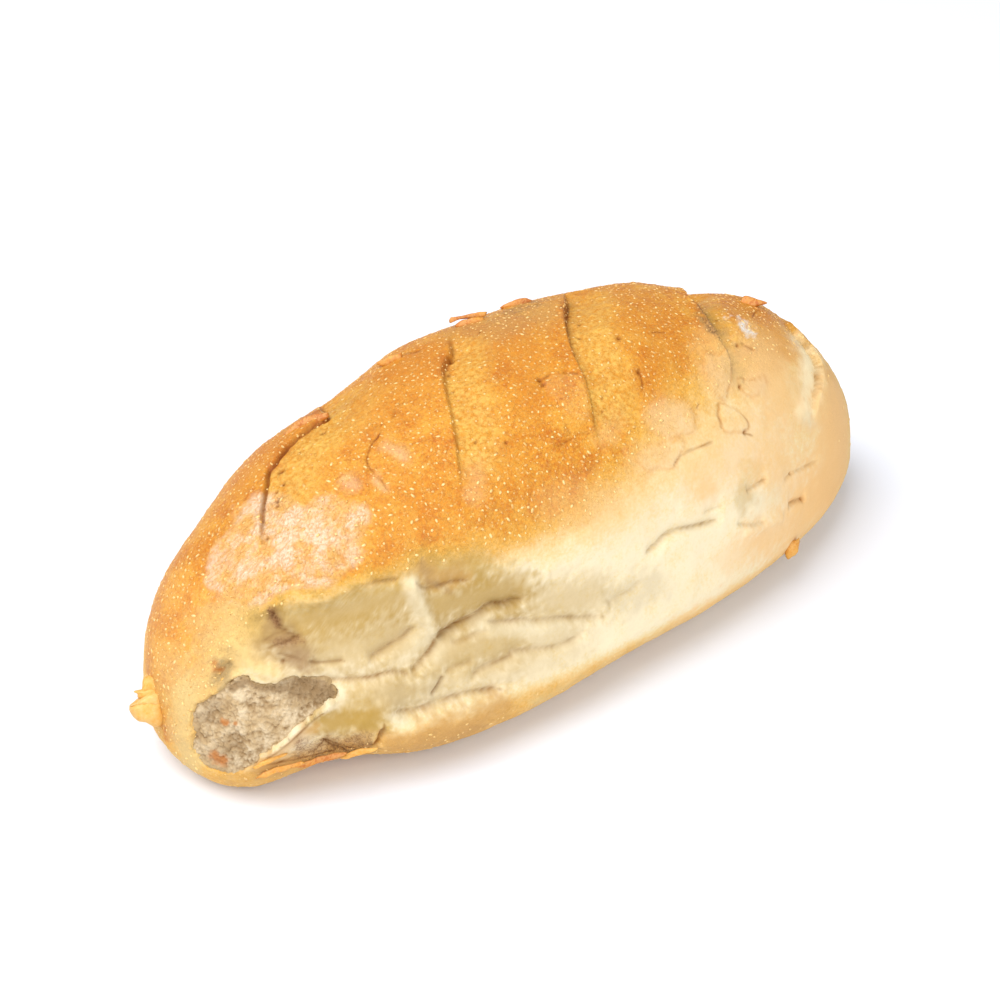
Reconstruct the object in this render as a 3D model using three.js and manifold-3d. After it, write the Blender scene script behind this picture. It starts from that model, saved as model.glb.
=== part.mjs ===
// A white bread loaf: a plump oval loaf of one piece, slashed five times across
// the crown and baked on the oven floor. Its flank has been pressed in and creased,
// and a scrap of crust is torn off its near end, so that the crumb shows.
//
// Millimetres, +Z up. The loaf lies along X with its torn end at -X and its creased
// flank at -Y. A place on the crust is given by x, the distance from mid-length, and
// by round, the degrees from the crest: 0 on top, 90 on the creased flank.
import * as THREE from 'three';
import { mergeVertices } from 'three/addons/utils/BufferGeometryUtils.js';
import Module from 'manifold-3d';

// Driving dimensions of the smooth loaf.
const LENGTH = 300;
const WIDTH = 124;
const HEIGHT = 105;
const WIDEST_LEVEL = 25; // height of the widest level at mid-length
const LEVEL_SINK = 0.38; // share by which that level comes down towards the ends
const TUCK_DEPTH = 32; // how far the section would reach below its widest level
const CREST_RISE = 0.06; // share by which the crest climbs towards the far end
const CREST_LEAN = 0.06; // sideways lean of the crest, away from the creased flank

// Exponents of the rounded outlines: 2 is an ellipse, more is squarer.
const NEAR_END_FULLNESS = 2.3;
const FAR_END_FULLNESS = 1.93;
const CROWN_FULLNESS = 2.4;
const TUCK_FULLNESS = 2.1;

// The grid that becomes the crust, in cells along each side of a box. Over the crown its
// rows lean by GRID_LEAN, a share of the half length, as the slashes do, and come back
// underneath.
const CELLS_ALONG = 52;
const CELLS_ACROSS = 26;
const CELLS_HIGH = 22;
const GRID_LEAN = 0.2;
const LEAN_TURN = 50; // degrees from the crest where the rows start to come back

// The slashes, from the torn end on. Each edge runs over the crown from the back of the
// crest to the flank, as [x, round]. The crust stands up in a lip on the near side of the
// edge, drops steeply by depth, and climbs back slowly over width.
const SLASHES = [
  {
    edge: [[-58, -38], [-69, -20], [-84, -17], [-96, -9], [-106, 1], [-113, 12]],
    width: 22,
    depth: 4.5,
    lip: 1.8,
  },
  {
    edge: [[-12, -22], [-22, -11], [-36, 4], [-44, 17], [-51, 30], [-57, 41]],
    width: 14,
    depth: 3,
    lip: 1,
  },
  {
    edge: [[42, -28], [28, -8], [16, 7], [5, 25], [0, 35], [-5, 46]],
    width: 20,
    depth: 3.6,
    lip: 1.2,
  },
  {
    edge: [[95, -30], [84, -14], [75, 2], [71, 15], [66, 28], [58, 46]],
    width: 17,
    depth: 5,
    lip: 1.6,
  },
  {
    edge: [[124, 2], [118, 12], [115, 25], [116, 40], [111, 50], [102, 58]],
    width: 10,
    depth: 2.6,
    lip: 0.8,
  },
];
const SLASH_STEP = 5; // width of the steep side of a slash
const LIP_REACH = 7; // distance over which a lip dies away
const SLASH_FADE = 0.22; // share of a slash's length over which each end runs out

// Where the flank has been pressed in, as [x, round], and how deep at each point.
const PRESSED = {
  path: [[-136, 40], [-115, 55], [-84, 63], [-55, 70], [-20, 76], [25, 74]],
  reach: 15,
};
const PRESSED_DEPTHS = [5, 8, 8, 6, 4, 2];

// Creases on the flank. The crust turns in towards each one over reach, above and below.
const CREASES = [
  {
    path: [[-132, 49], [-118, 61], [-99, 71], [-87, 73], [-78, 68], [-63, 67], [-46, 67]],
    depth: 3.4,
    reach: 6,
  },
  { path: [[-63, 67], [-46, 73], [-22, 80], [-6, 79], [3, 71], [27, 71], [57, 77]], depth: 2.2, reach: 5 },
  { path: [[-71, 83], [-55, 81], [-36, 84], [-24, 81]], depth: 1.4, reach: 4 },
  { path: [[-105, 82], [-84, 84], [-70, 86], [-50, 89]], depth: 2.6, reach: 5 },
  { path: [[48, 69], [62, 70], [76, 71], [98, 73]], depth: 1.6, reach: 4 },
  { path: [[64, 79], [74, 80], [87, 82]], depth: 1.6, reach: 4 },
];

// Swells, and hollows where rise is negative, each a soft bump about a place.
const SWELLS = [
  { x: -55, round: -42, alongX: 17, across: 22, rise: -2.8 }, // behind the first slash
  { x: -24, round: -38, alongX: 12, across: 16, rise: 1.4 },
  { x: 14, round: -34, alongX: 13, across: 14, rise: -1.2 },
  { x: 44, round: -34, alongX: 12, across: 16, rise: -1.2 }, // behind the third slash
  { x: 90, round: -24, alongX: 10, across: 17, rise: -3.4 }, // where the fourth slash crosses the crest
  { x: 113, round: -8, alongX: 7, across: 16, rise: 1.2 }, // hump between the last slashes
  { x: -112, round: -42, alongX: 12, across: 16, rise: -1.6 },
  { x: -104, round: 36, alongX: 22, across: 12, rise: 2.4 }, // brow over the pressed flank
  { x: -60, round: 46, alongX: 24, across: 12, rise: 1.6 },
  { x: 8, round: 112, alongX: 22, across: 16, rise: -1.1 }, // flank drawn in at mid-length
  { x: -60, round: 112, alongX: 24, across: 13, rise: 1.6 },
  { x: -110, round: 120, alongX: 16, across: 13, rise: -5.2 }, // torn bottom edge
  { x: -138, round: 125, alongX: 10, across: 18, rise: 2.6 }, // square near corner
  { x: -93, round: 95, alongX: 16, across: 9, rise: 2 }, // rolled skirt under the creases
];

// The patch where the crust is gone, and the rough crumb in it.
const TORN = { x: -133, round: 62, along: 22, high: 18, depth: 3.5, softness: 0.3 };

// Gentle unevenness: sets of random waves, by wavelength and height.
const UNEVEN_SEED = 11;
const UNEVEN = [{ waves: 7, wavelength: 62, height: 0.75 }, { waves: 9, wavelength: 24, height: 0.28 }];
const CRUMB = [{ waves: 12, wavelength: 11, height: 1.1 }];

// Crags and flakes fused to the crust: torn lumps at the foot and dry scraps along the
// crest. Sizes are half lengths along the crust, across it and outwards; sunk is how
// far the middle lies below the crust, turn is its direction on the crust.
const CRAGS = [
  { x: -147, round: -82, size: [4.5, 5, 7], sunk: 1.5, turn: 20 }, // torn nub at the near end
  { x: -147.5, round: -94, size: [4, 4.5, 5.5], sunk: 1, turn: 60 },
  { x: -146, round: -75, size: [3.5, 4, 3.5], sunk: 0.8, turn: -30 },
  { x: 79, round: 107, size: [6, 4, 4], sunk: 0, turn: 10 }, // crumb of crust on the flank
  { x: 74, round: 111, size: [4.5, 3.5, 3.2], sunk: 0, turn: -40 },
  { x: 0, round: -32, size: [7, 3, 1.5], sunk: -0.4, turn: -12 }, // dry scraps along the crest
  { x: 6, round: -31, size: [4.5, 2, 1.1], sunk: -0.2, turn: 20 },
  { x: 26, round: -30, size: [6.5, 2.4, 1.1], sunk: 0, turn: 5 },
  { x: -35, round: -34, size: [4.5, 2.4, 1.2], sunk: 0, turn: 25 },
  { x: 118, round: -2, size: [6.5, 2.4, 1.3], sunk: -0.2, turn: -15 },
];
const CRAG_SEED = 5;
const CRAG_ROUGHNESS = 0.16;

// Crust colour.
const CRUST_COLOUR = 0xd9a45b;
const CRUST_ROUGHNESS = 0.62;

const ALONG = new THREE.Vector3(1, 0, 0);
const UP = new THREE.Vector3(0, 0, 1);
const NORMAL_STEP = 0.004; // how far apart, on a unit sphere, the points that give a normal lie

// A repeatable stream of random numbers from 0 to 1.
function randomStream(seed) {
  let state = seed;
  return () => {
    state = (state + 0x6d2b79f5) | 0;
    let mixed = Math.imul(state ^ (state >>> 15), 1 | state);
    mixed = (mixed + Math.imul(mixed ^ (mixed >>> 7), 61 | mixed)) ^ mixed;
    return ((mixed ^ (mixed >>> 14)) >>> 0) / 4294967296;
  };
}

// Random waves in all directions, as one height for each place.
function waveField(sets, random) {
  const waves = [];
  for (const { waves: count, wavelength, height } of sets) {
    for (let i = 0; i < count; i += 1) {
      const steep = 2 * random() - 1;
      const turn = 2 * Math.PI * random();
      const flat = Math.sqrt(1 - steep * steep);
      const direction = new THREE.Vector3(flat * Math.cos(turn), flat * Math.sin(turn), steep);
      direction.multiplyScalar((2 * Math.PI) / (wavelength * (0.75 + 0.5 * random())));
      waves.push({ direction, phase: 2 * Math.PI * random(), height: height / Math.sqrt(count / 2) });
    }
  }
  return (point) => {
    let sum = 0;
    for (const { direction, phase, height } of waves) {
      sum += height * Math.sin(direction.dot(point) + phase);
    }
    return sum;
  };
}

// The smooth loaf: the point of the crust that lies in a direction from its middle.
function smoothPoint(direction) {
  const fullness = direction.x < 0 ? NEAR_END_FULLNESS : FAR_END_FULLNESS;
  const share = Math.sign(direction.x) * Math.abs(direction.x) ** (2 / fullness);
  const shrink = Math.max(0, 1 - Math.abs(share) ** fullness) ** (1 / fullness);
  const angle = Math.atan2(direction.z, direction.y);
  const cosine = Math.cos(angle);
  const sine = Math.sin(angle);
  const sectionFullness = sine > 0 ? CROWN_FULLNESS : TUCK_FULLNESS;
  const radius =
    (Math.abs(cosine) ** sectionFullness + Math.abs(sine) ** sectionFullness) ** (-1 / sectionFullness);
  const level = WIDEST_LEVEL * (1 - LEVEL_SINK * share * share);
  const reach = sine > 0 ? HEIGHT * (1 + CREST_RISE * share) - level : TUCK_DEPTH;
  const z = level + reach * shrink * radius * sine;
  const y = (WIDTH / 2) * shrink * radius * cosine + CREST_LEAN * (z - WIDEST_LEVEL);
  return new THREE.Vector3((share * LENGTH) / 2, y, z);
}

// Outward direction of the smooth crust, from the points on either side.
function smoothNormal(direction) {
  const leastAligned = Math.abs(direction.z) < 0.9 ? UP : ALONG;
  const sideways = new THREE.Vector3().crossVectors(direction, leastAligned).normalize();
  const upwards = new THREE.Vector3().crossVectors(direction, sideways);
  const across = [sideways, upwards].map((way) => {
    const ahead = smoothPoint(direction.clone().addScaledVector(way, NORMAL_STEP).normalize());
    const behind = smoothPoint(direction.clone().addScaledVector(way, -NORMAL_STEP).normalize());
    return ahead.sub(behind);
  });
  const normal = across[0].cross(across[1]).normalize();
  return normal.dot(direction) < 0 ? normal.negate() : normal;
}

// The direction of a place on the crust from its x and its degrees from the crest.
function directionAt(x, round) {
  const share = x / (LENGTH / 2);
  const fullness = share < 0 ? NEAR_END_FULLNESS : FAR_END_FULLNESS;
  const along = Math.sign(share) * Math.abs(share) ** (fullness / 2);
  const across = Math.sqrt(Math.max(0, 1 - along * along));
  const angle = THREE.MathUtils.degToRad(round + 90);
  return new THREE.Vector3(along, across * Math.cos(angle), across * Math.sin(angle));
}

function placeOnCrust(x, round) {
  return smoothPoint(directionAt(x, round));
}

// A line over the crust through places given as [x, round].
function lineOnCrust(places) {
  const curve = new THREE.CatmullRomCurve3(places.map(([x, round]) => new THREE.Vector3(x, round, 0)));
  return curve.getPoints(places.length * 4).map((place) => placeOnCrust(place.x, place.y));
}

// How a point lies to a line: its distance, the share of the line's length at the nearest
// point, and the side, +1 to the left of the line as seen from outside.
function toLine(point, normal, line) {
  let best = { distance: Infinity, share: 0, side: 1 };
  const segment = new THREE.Line3();
  const nearest = new THREE.Vector3();
  for (let i = 0; i < line.length - 1; i += 1) {
    segment.set(line[i], line[i + 1]);
    const part = segment.closestPointToPointParameter(point, true);
    segment.at(part, nearest);
    const distance = nearest.distanceTo(point);
    if (distance < best.distance) {
      const along = line[i + 1].clone().sub(line[i]);
      const side = Math.sign(normal.clone().cross(along).dot(point.clone().sub(nearest))) || 1;
      best = { distance, share: (i + part) / (line.length - 1), side };
    }
  }
  return best;
}

// A value that runs through evenly spaced stops.
function between(stops, share) {
  const place = share * (stops.length - 1);
  const i = Math.min(Math.floor(place), stops.length - 2);
  return THREE.MathUtils.lerp(stops[i], stops[i + 1], place - i);
}

function bell(distance) {
  return Math.exp(-0.5 * distance * distance);
}

const smoothstep = THREE.MathUtils.smoothstep;
const slashLines = SLASHES.map((slash) => ({ ...slash, line: lineOnCrust(slash.edge) }));
const creaseLines = CREASES.map((crease) => ({ ...crease, line: lineOnCrust(crease.path) }));
const pressedLine = lineOnCrust(PRESSED.path);
const swellPlaces = SWELLS.map((swell) => ({ ...swell, centre: placeOnCrust(swell.x, swell.round) }));
const tornCentre = placeOnCrust(TORN.x, TORN.round);
const unevenness = waveField(UNEVEN, randomStream(UNEVEN_SEED));
const crumbRoughness = waveField(CRUMB, randomStream(UNEVEN_SEED + 1));

// The lines run from back to flank, so the far side of a slash is on their left.
function slashRelief(point, normal) {
  let relief = 0;
  for (const { line, width, depth, lip } of slashLines) {
    const { distance, share, side } = toLine(point, normal, line);
    const offset = side * distance;
    const fade = smoothstep(share, 0, SLASH_FADE) * (1 - smoothstep(share, 1 - SLASH_FADE, 1));
    const drop = smoothstep(offset, -SLASH_STEP / 2, SLASH_STEP / 2);
    const climb = 1 - smoothstep(offset, 0, width);
    const lipHeight = lip * (1 - drop) * Math.exp(-Math.abs(offset) / LIP_REACH);
    relief += fade * (lipHeight - depth * drop * climb);
  }
  return relief;
}

function creaseRelief(point, normal) {
  let relief = 0;
  for (const { line, depth, reach } of creaseLines) {
    const { distance, share } = toLine(point, normal, line);
    const fade = smoothstep(share, 0, 0.15) * (1 - smoothstep(share, 0.85, 1));
    relief -= fade * depth * Math.exp(-distance / reach);
  }
  return relief;
}

function pressedRelief(point, normal) {
  const { distance, share } = toLine(point, normal, pressedLine);
  return -between(PRESSED_DEPTHS, share) * bell(distance / PRESSED.reach);
}

function swellRelief(point) {
  let relief = 0;
  for (const { centre, alongX, across, rise } of swellPlaces) {
    const offset = point.clone().sub(centre);
    relief += rise * bell(offset.x / alongX) * bell(Math.hypot(offset.y, offset.z) / across);
  }
  return relief;
}

function tornRelief(point) {
  const offset = point.clone().sub(tornCentre);
  const reach = Math.hypot(Math.hypot(offset.x, offset.y) / TORN.along, offset.z / TORN.high);
  const inside = 1 - smoothstep(reach, 1 - TORN.softness, 1);
  return inside * (crumbRoughness(point) - TORN.depth);
}

// The crust at a grid vertex: the smooth loaf moved along its normal by all the relief.
function crustPoint(direction) {
  const point = smoothPoint(direction);
  const normal = smoothNormal(direction);
  const relief =
    slashRelief(point, normal) +
    creaseRelief(point, normal) +
    pressedRelief(point, normal) +
    swellRelief(point) +
    tornRelief(point) +
    unevenness(point);
  return point.addScaledVector(normal, relief);
}

// Shifts a direction along the loaf by its turn from the crest, and not at all at the ends.
function leanWithSlashes({ x, y, z }) {
  const round = THREE.MathUtils.radToDeg(Math.atan2(-y, z));
  const backUnder = (Math.sign(round) * 180 - round) / (180 - LEAN_TURN);
  const turn = Math.abs(round) < LEAN_TURN ? round / LEAN_TURN : backUnder;
  const along = x - GRID_LEAN * turn * (1 - x * x);
  const shrink = Math.sqrt((1 - along * along) / Math.max(1 - x * x, 1e-9));
  return new THREE.Vector3(along, y * shrink, z * shrink);
}

// A closed box grid swollen to a sphere of even cells, each vertex then put on the crust.
function crustGeometry() {
  const grid = new THREE.BoxGeometry(2, 2, 2, CELLS_ALONG, CELLS_ACROSS, CELLS_HIGH);
  grid.deleteAttribute('normal');
  grid.deleteAttribute('uv');
  const geometry = mergeVertices(grid);
  const position = geometry.getAttribute('position');
  const direction = new THREE.Vector3();
  for (let i = 0; i < position.count; i += 1) {
    direction.fromBufferAttribute(position, i);
    direction.set(...direction.toArray().map((value) => Math.tan((value * Math.PI) / 4)));
    const point = crustPoint(leanWithSlashes(direction.normalize()));
    position.setXYZ(i, point.x, point.y, point.z);
  }
  return geometry;
}

// A rough lump of crust, lying on the loaf at a place.
function cragGeometry({ x, round, size, sunk, turn }, random) {
  const ball = new THREE.IcosahedronGeometry(1, 1);
  ball.deleteAttribute('normal');
  ball.deleteAttribute('uv');
  const geometry = mergeVertices(ball);
  const position = geometry.getAttribute('position');
  const corner = new THREE.Vector3();
  for (let i = 0; i < position.count; i += 1) {
    corner.fromBufferAttribute(position, i).multiplyScalar(1 + CRAG_ROUGHNESS * (2 * random() - 1));
    position.setXYZ(i, corner.x * size[0], corner.y * size[1], corner.z * size[2]);
  }
  const direction = directionAt(x, round);
  const outward = smoothNormal(direction);
  const along = ALONG.clone().addScaledVector(outward, -outward.x).normalize();
  const across = new THREE.Vector3().crossVectors(outward, along);
  const stand = new THREE.Matrix4().makeBasis(along, across, outward);
  const spin = new THREE.Matrix4().makeRotationZ(THREE.MathUtils.degToRad(turn));
  const centre = crustPoint(direction).addScaledVector(outward, -sunk);
  geometry.applyMatrix4(stand.multiply(spin).setPosition(centre));
  return geometry;
}

const wasm = await Module();
wasm.setup();

function toSolid(geometry) {
  const mesh = new wasm.Mesh({
    numProp: 3,
    vertProperties: new Float32Array(geometry.getAttribute('position').array),
    triVerts: new Uint32Array(geometry.getIndex().array),
  });
  return new wasm.Manifold(mesh);
}

function toGeometry(solid) {
  const { vertProperties, triVerts } = solid.getMesh();
  const geometry = new THREE.BufferGeometry();
  geometry.setAttribute('position', new THREE.BufferAttribute(new Float32Array(vertProperties), 3));
  geometry.setIndex(new THREE.BufferAttribute(new Uint32Array(triVerts), 1));
  return geometry;
}

// All that would lie below the oven floor is cut off, which leaves the flat foot.
function belowFloor() {
  const box = new THREE.BoxGeometry(2 * LENGTH, 2 * WIDTH, WIDTH);
  box.deleteAttribute('normal');
  box.deleteAttribute('uv');
  box.translate(0, 0, -WIDTH / 2);
  return toSolid(mergeVertices(box));
}

function loafSolid() {
  const random = randomStream(CRAG_SEED);
  let solid = toSolid(crustGeometry());
  for (const crag of CRAGS) {
    solid = solid.add(toSolid(cragGeometry(crag, random)));
  }
  return solid.subtract(belowFloor());
}

// The finished loaf stands on z = 0 with the middle of its box over the origin.
const geometry = toGeometry(loafSolid());
geometry.computeBoundingBox();
const middle = geometry.boundingBox.getCenter(new THREE.Vector3());
geometry.translate(-middle.x, -middle.y, -geometry.boundingBox.min.z);
geometry.computeVertexNormals();

const crust = new THREE.MeshStandardMaterial({
  color: CRUST_COLOUR,
  roughness: CRUST_ROUGHNESS,
  metalness: 0,
});
const loaf = new THREE.Mesh(geometry, crust);
loaf.name = 'loaf';

const part = new THREE.Group();
part.add(loaf);
export default part;
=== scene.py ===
# %% [markdown]
# # A white bread loaf
# This lesson dresses one solid, a plump oval loaf, as the real thing: a blistered golden crown with
# five slashes, a pale flank that was pressed in and has creased, and a torn patch that shows the
# crumb. The solid fixes where everything is. We measure in millimetres until a mesh is made, because
# that is how a baker would give the sizes, and turn to Blender's metres at the very end.

import math

import bmesh
import bpy
import numpy as np
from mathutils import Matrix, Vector, noise
from mathutils.bvhtree import BVHTree


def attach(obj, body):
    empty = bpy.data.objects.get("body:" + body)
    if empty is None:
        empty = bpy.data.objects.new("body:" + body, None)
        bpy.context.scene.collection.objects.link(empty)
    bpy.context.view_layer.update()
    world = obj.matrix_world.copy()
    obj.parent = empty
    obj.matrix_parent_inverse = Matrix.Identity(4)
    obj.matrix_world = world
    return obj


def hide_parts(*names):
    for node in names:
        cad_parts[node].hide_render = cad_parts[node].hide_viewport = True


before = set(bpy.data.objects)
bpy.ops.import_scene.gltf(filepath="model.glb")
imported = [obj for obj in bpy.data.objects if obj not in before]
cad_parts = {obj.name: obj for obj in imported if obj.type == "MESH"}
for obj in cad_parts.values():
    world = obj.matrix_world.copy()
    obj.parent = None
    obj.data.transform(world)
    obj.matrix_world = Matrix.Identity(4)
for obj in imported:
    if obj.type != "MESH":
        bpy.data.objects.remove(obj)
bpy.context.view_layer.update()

# %% [markdown]
# ## The smooth loaf
# A shaped loaf swells into something between an ellipsoid and a rounded box. Sculpting it would work,
# but a formula is exact, can be asked for any point, and is the one that the solid was made with. A
# place on the crust is named by x, its distance from mid-length, and round, its degrees from the
# crest: 0 is the top and 90 the creased flank.

# %% The formula of the body
LENGTH, WIDTH, HEIGHT = 300.0, 124.0, 105.0
WIDEST_LEVEL, LEVEL_SINK, TUCK_DEPTH = 25.0, 0.38, 32.0
CREST_RISE, CREST_LEAN = 0.06, 0.06
NEAR_END_FULLNESS, FAR_END_FULLNESS = 2.3, 1.93
CROWN_FULLNESS, TUCK_FULLNESS = 2.4, 2.1
BOX_SHIFT = np.array([1.69, -0.91, 0.0])  # from the loaf's axis to the middle of its box


def smooth_points(directions):
    """The points of the smooth crust that lie in these directions, given as unit rows."""
    x, y, z = directions.T
    fullness = np.where(x < 0, NEAR_END_FULLNESS, FAR_END_FULLNESS)
    share = np.sign(x) * np.abs(x) ** (2 / fullness)
    shrink = np.clip(1 - np.abs(share) ** fullness, 0, 1) ** (1 / fullness)
    angle = np.arctan2(z, y)
    cosine, sine = np.cos(angle), np.sin(angle)
    section = np.where(sine > 0, CROWN_FULLNESS, TUCK_FULLNESS)
    radius = (np.abs(cosine) ** section + np.abs(sine) ** section) ** (-1 / section)
    level = WIDEST_LEVEL * (1 - LEVEL_SINK * share**2)
    reach = np.where(sine > 0, HEIGHT * (1 + CREST_RISE * share) - level, TUCK_DEPTH)
    up = level + reach * shrink * radius * sine
    side = WIDTH / 2 * shrink * radius * cosine + CREST_LEAN * (up - WIDEST_LEVEL)
    return np.stack([share * LENGTH / 2, side, up], axis=1)


def unit(rows):
    return rows / np.linalg.norm(rows, axis=-1, keepdims=True)


def smooth_normals(directions, step=0.004):
    """Outward directions of the smooth crust, from the points on either side of each."""
    upright = np.abs(directions[:, 2:3]) < 0.9
    least_aligned = np.where(upright, [[0.0, 0.0, 1.0]], [[1.0, 0.0, 0.0]])
    sideways = unit(np.cross(directions, least_aligned))
    upwards = np.cross(directions, sideways)
    spans = []
    for way in (sideways, upwards):
        ahead = smooth_points(unit(directions + step * way))
        behind = smooth_points(unit(directions - step * way))
        spans.append(ahead - behind)
    normals = unit(np.cross(spans[0], spans[1]))
    return normals * np.sign((normals * directions).sum(1, keepdims=True))


def directions_at(places):
    """Directions of places given as rows of (x, round)."""
    x, turn = np.asarray(places, float).reshape(-1, 2).T
    share = x / (LENGTH / 2)
    fullness = np.where(share < 0, NEAR_END_FULLNESS, FAR_END_FULLNESS)
    along = np.sign(share) * np.abs(share) ** (fullness / 2)
    across = np.sqrt(np.clip(1 - along**2, 0, 1))
    angle = np.radians(turn + 90)
    return np.stack([along, across * np.cos(angle), across * np.sin(angle)], axis=1)


def rounds_of(directions):
    return np.degrees(np.arctan2(-directions[:, 1], directions[:, 2]))


# %% [markdown]
# ## Tools for relief
# Everything that happened to the dough is a height along the crust's own direction: a drop beside a
# line, a groove under a line, a bell round a place, or a random unevenness. Written as plain
# arithmetic over all points at once, each of them takes a line or two.

# %% Steps, bells, lines and unevenness


def smoothstep(value, start, end):
    t = np.clip((value - start) / (end - start), 0, 1)
    return t * t * (3 - 2 * t)


def bell(distance):
    return np.exp(-0.5 * distance**2)


def ends_fade(share, part):
    """0 at both ends of a line and 1 between, given each point's share of the line."""
    return smoothstep(share, 0, part) * (1 - smoothstep(share, 1 - part, 1))


def read_along(share, values):
    """Values spread evenly along a line, read at each point's share of the line."""
    return np.interp(share, np.linspace(0, 1, len(values)), values)


def to_line(points, normals, line, reach=1e9):
    """How points lie to a line: distance, share of its length, and side, +1 on its left."""
    distance = np.full(len(points), float(reach))
    share = np.zeros(len(points))
    side = np.ones(len(points))
    low, high = line.min(0) - reach, line.max(0) + reach
    near = np.nonzero(((points > low) & (points < high)).all(1))[0]
    lengths = np.linalg.norm(np.diff(line, axis=0), axis=1)
    starts = np.concatenate([[0], np.cumsum(lengths)])
    for start, end, length, before in zip(line, line[1:], lengths, starts):
        along = end - start
        offset = points[near] - start
        part = np.clip(offset @ along / max(length, 1e-9) ** 2, 0, 1)
        gap = offset - part[:, None] * along
        size = np.linalg.norm(gap, axis=1)
        closer = size < distance[near]
        chosen = near[closer]
        distance[chosen] = size[closer]
        share[chosen] = (before + part[closer] * length) / starts[-1]
        facing = np.cross(normals[chosen], along)
        side[chosen] = np.where((facing * gap[closer]).sum(1) < 0, -1, 1)
    return distance, share, side


def unevenness(points, size, seed, octaves=2):
    """Soft random heights of about -1 to 1, with bumps of about this size in millimetres."""
    shift = Vector((seed * 17.3, seed * 5.1, seed * 11.7))
    return np.array([noise.fractal(Vector(p) + shift, 0.9, 2.1, octaves) for p in points / size])


def shifts(points, size, seed, axes=3, octaves=2):
    """Soft random shifts, with a column for each axis."""
    columns = [unevenness(points, size, seed + axis, octaves) for axis in range(axes)]
    return np.stack(columns, axis=1)


# %% [markdown]
# ## Large forms, as in the solid
# The bread was squeezed while soft. Its flank sank in under the brow of the crown, the near end
# bulged, and a few broad dents and swells came from handling. They are the solid's own numbers, so
# that the dressed loaf and the solid keep one shape.

# %% Pressed flank, dents and swells
PRESSED_PATH = [(-136, 40), (-115, 55), (-84, 63), (-55, 70), (-20, 76), (25, 74)]  # x, round
PRESSED_DEPTHS = [5.0, 8.0, 8.0, 6.0, 4.0, 2.0]
PRESSED_REACH = 15.0
SWELLS = [  # x, round, along X, across, rise
    (-55, -42, 17, 22, -2.8), (-24, -38, 12, 16, 1.4), (14, -34, 13, 14, -1.2), (44, -34, 12, 16, -1.2),
    (90, -24, 10, 17, -3.4), (113, -8, 7, 16, 1.2), (-112, -42, 12, 16, -1.6), (-104, 36, 22, 12, 2.4),
    (-60, 46, 24, 12, 1.6), (8, 112, 22, 16, -1.1), (-60, 112, 24, 13, 1.6), (-110, 120, 16, 13, -5.2),
    (-138, 125, 10, 18, 2.6), (-93, 95, 16, 9, 2.0),
]


def form_relief(points, normals):
    """Height of the large forms over the smooth loaf."""
    path = smooth_points(directions_at(PRESSED_PATH))
    distance, share, _ = to_line(points, normals, path)
    relief = -read_along(share, PRESSED_DEPTHS) * bell(distance / PRESSED_REACH)
    for x, turn, along, across, rise in SWELLS:
        offset = points - smooth_points(directions_at([(x, turn)]))[0]
        sideways = np.hypot(offset[:, 1], offset[:, 2])
        relief += rise * bell(offset[:, 0] / along) * bell(sideways / across)
    return relief


# %% [markdown]
# ## A grid for the crust
# The crust needs even, small cells wherever it is carved. A UV sphere would pinch at its poles, so we
# swell the skin of a box lattice into a sphere instead. Its rows lean as the slashes do, so that a
# slash's edge runs along a row and not in steps across it.

# %% A box lattice swollen to a sphere
CELLS = (112, 40, 36)
CROWDED_ROUND, CROWDING = 42.0, 0.35
ROW_LEAN, LEAN_TURN = 0.2, 50.0


def box_lattice(counts):
    """Corner positions from -1 to 1 and the quads of a box's skin, with shared corners."""
    number = np.full([n + 1 for n in counts], -1)
    skin = np.ones(number.shape, bool)
    skin[tuple(slice(1, n) for n in counts)] = False
    number[skin] = np.arange(skin.sum())
    corners = 2 * np.argwhere(skin) / np.array(counts) - 1
    quads = []
    for axis in range(3):
        for end in (0, -1):
            sheet = number.take(end, axis=axis)
            ring = [sheet[:-1, :-1], sheet[1:, :-1], sheet[1:, 1:], sheet[:-1, 1:]]
            turned = (end == 0) != (axis == 1)
            ring = ring[::-1] if turned else ring
            quads.append(np.stack([corner.ravel() for corner in ring], axis=1))
    return corners, np.concatenate(quads).tolist()


def swollen(corners):
    return unit(np.tan(corners * math.pi / 4))


def crowded(directions):
    """Turns each direction about the loaf's length, towards the part that carries the detail."""
    turn = np.radians(rounds_of(directions))
    turn = turn - CROWDING * np.sin(turn - math.radians(CROWDED_ROUND))
    across = np.hypot(directions[:, 1], directions[:, 2])
    return np.stack([directions[:, 0], -across * np.sin(turn), across * np.cos(turn)], axis=1)


def leaned(directions):
    """Slides each direction along the loaf by its turn from the crest, and not at the ends."""
    x = directions[:, 0]
    turn = rounds_of(directions)
    back_under = (np.sign(turn) * 180 - turn) / (180 - LEAN_TURN)
    turn = np.where(np.abs(turn) < LEAN_TURN, turn / LEAN_TURN, back_under)
    along = x - ROW_LEAN * turn * (1 - x**2)
    shrink = np.sqrt(np.clip(1 - along**2, 0, 1) / np.maximum(1 - x**2, 1e-9))
    return np.column_stack([along, directions[:, 1] * shrink, directions[:, 2] * shrink])


corners, faces = box_lattice(CELLS)
directions = leaned(crowded(swollen(corners)))
print("the coarse grid has", len(faces), "cells")

# %% [markdown]
# ## The camera, and places read off the picture
# The loaf was seen from its creased side, from about a third of the way up. Fitting the smooth loaf's
# outline gave the camera. Because the camera is known, a crease can be noted where it is seen, as a
# few picture points on a 1000 by 1000 frame, and each point is sent along its ray until it meets the
# loaf. From then on it is a place on the bread, right from every side.

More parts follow.
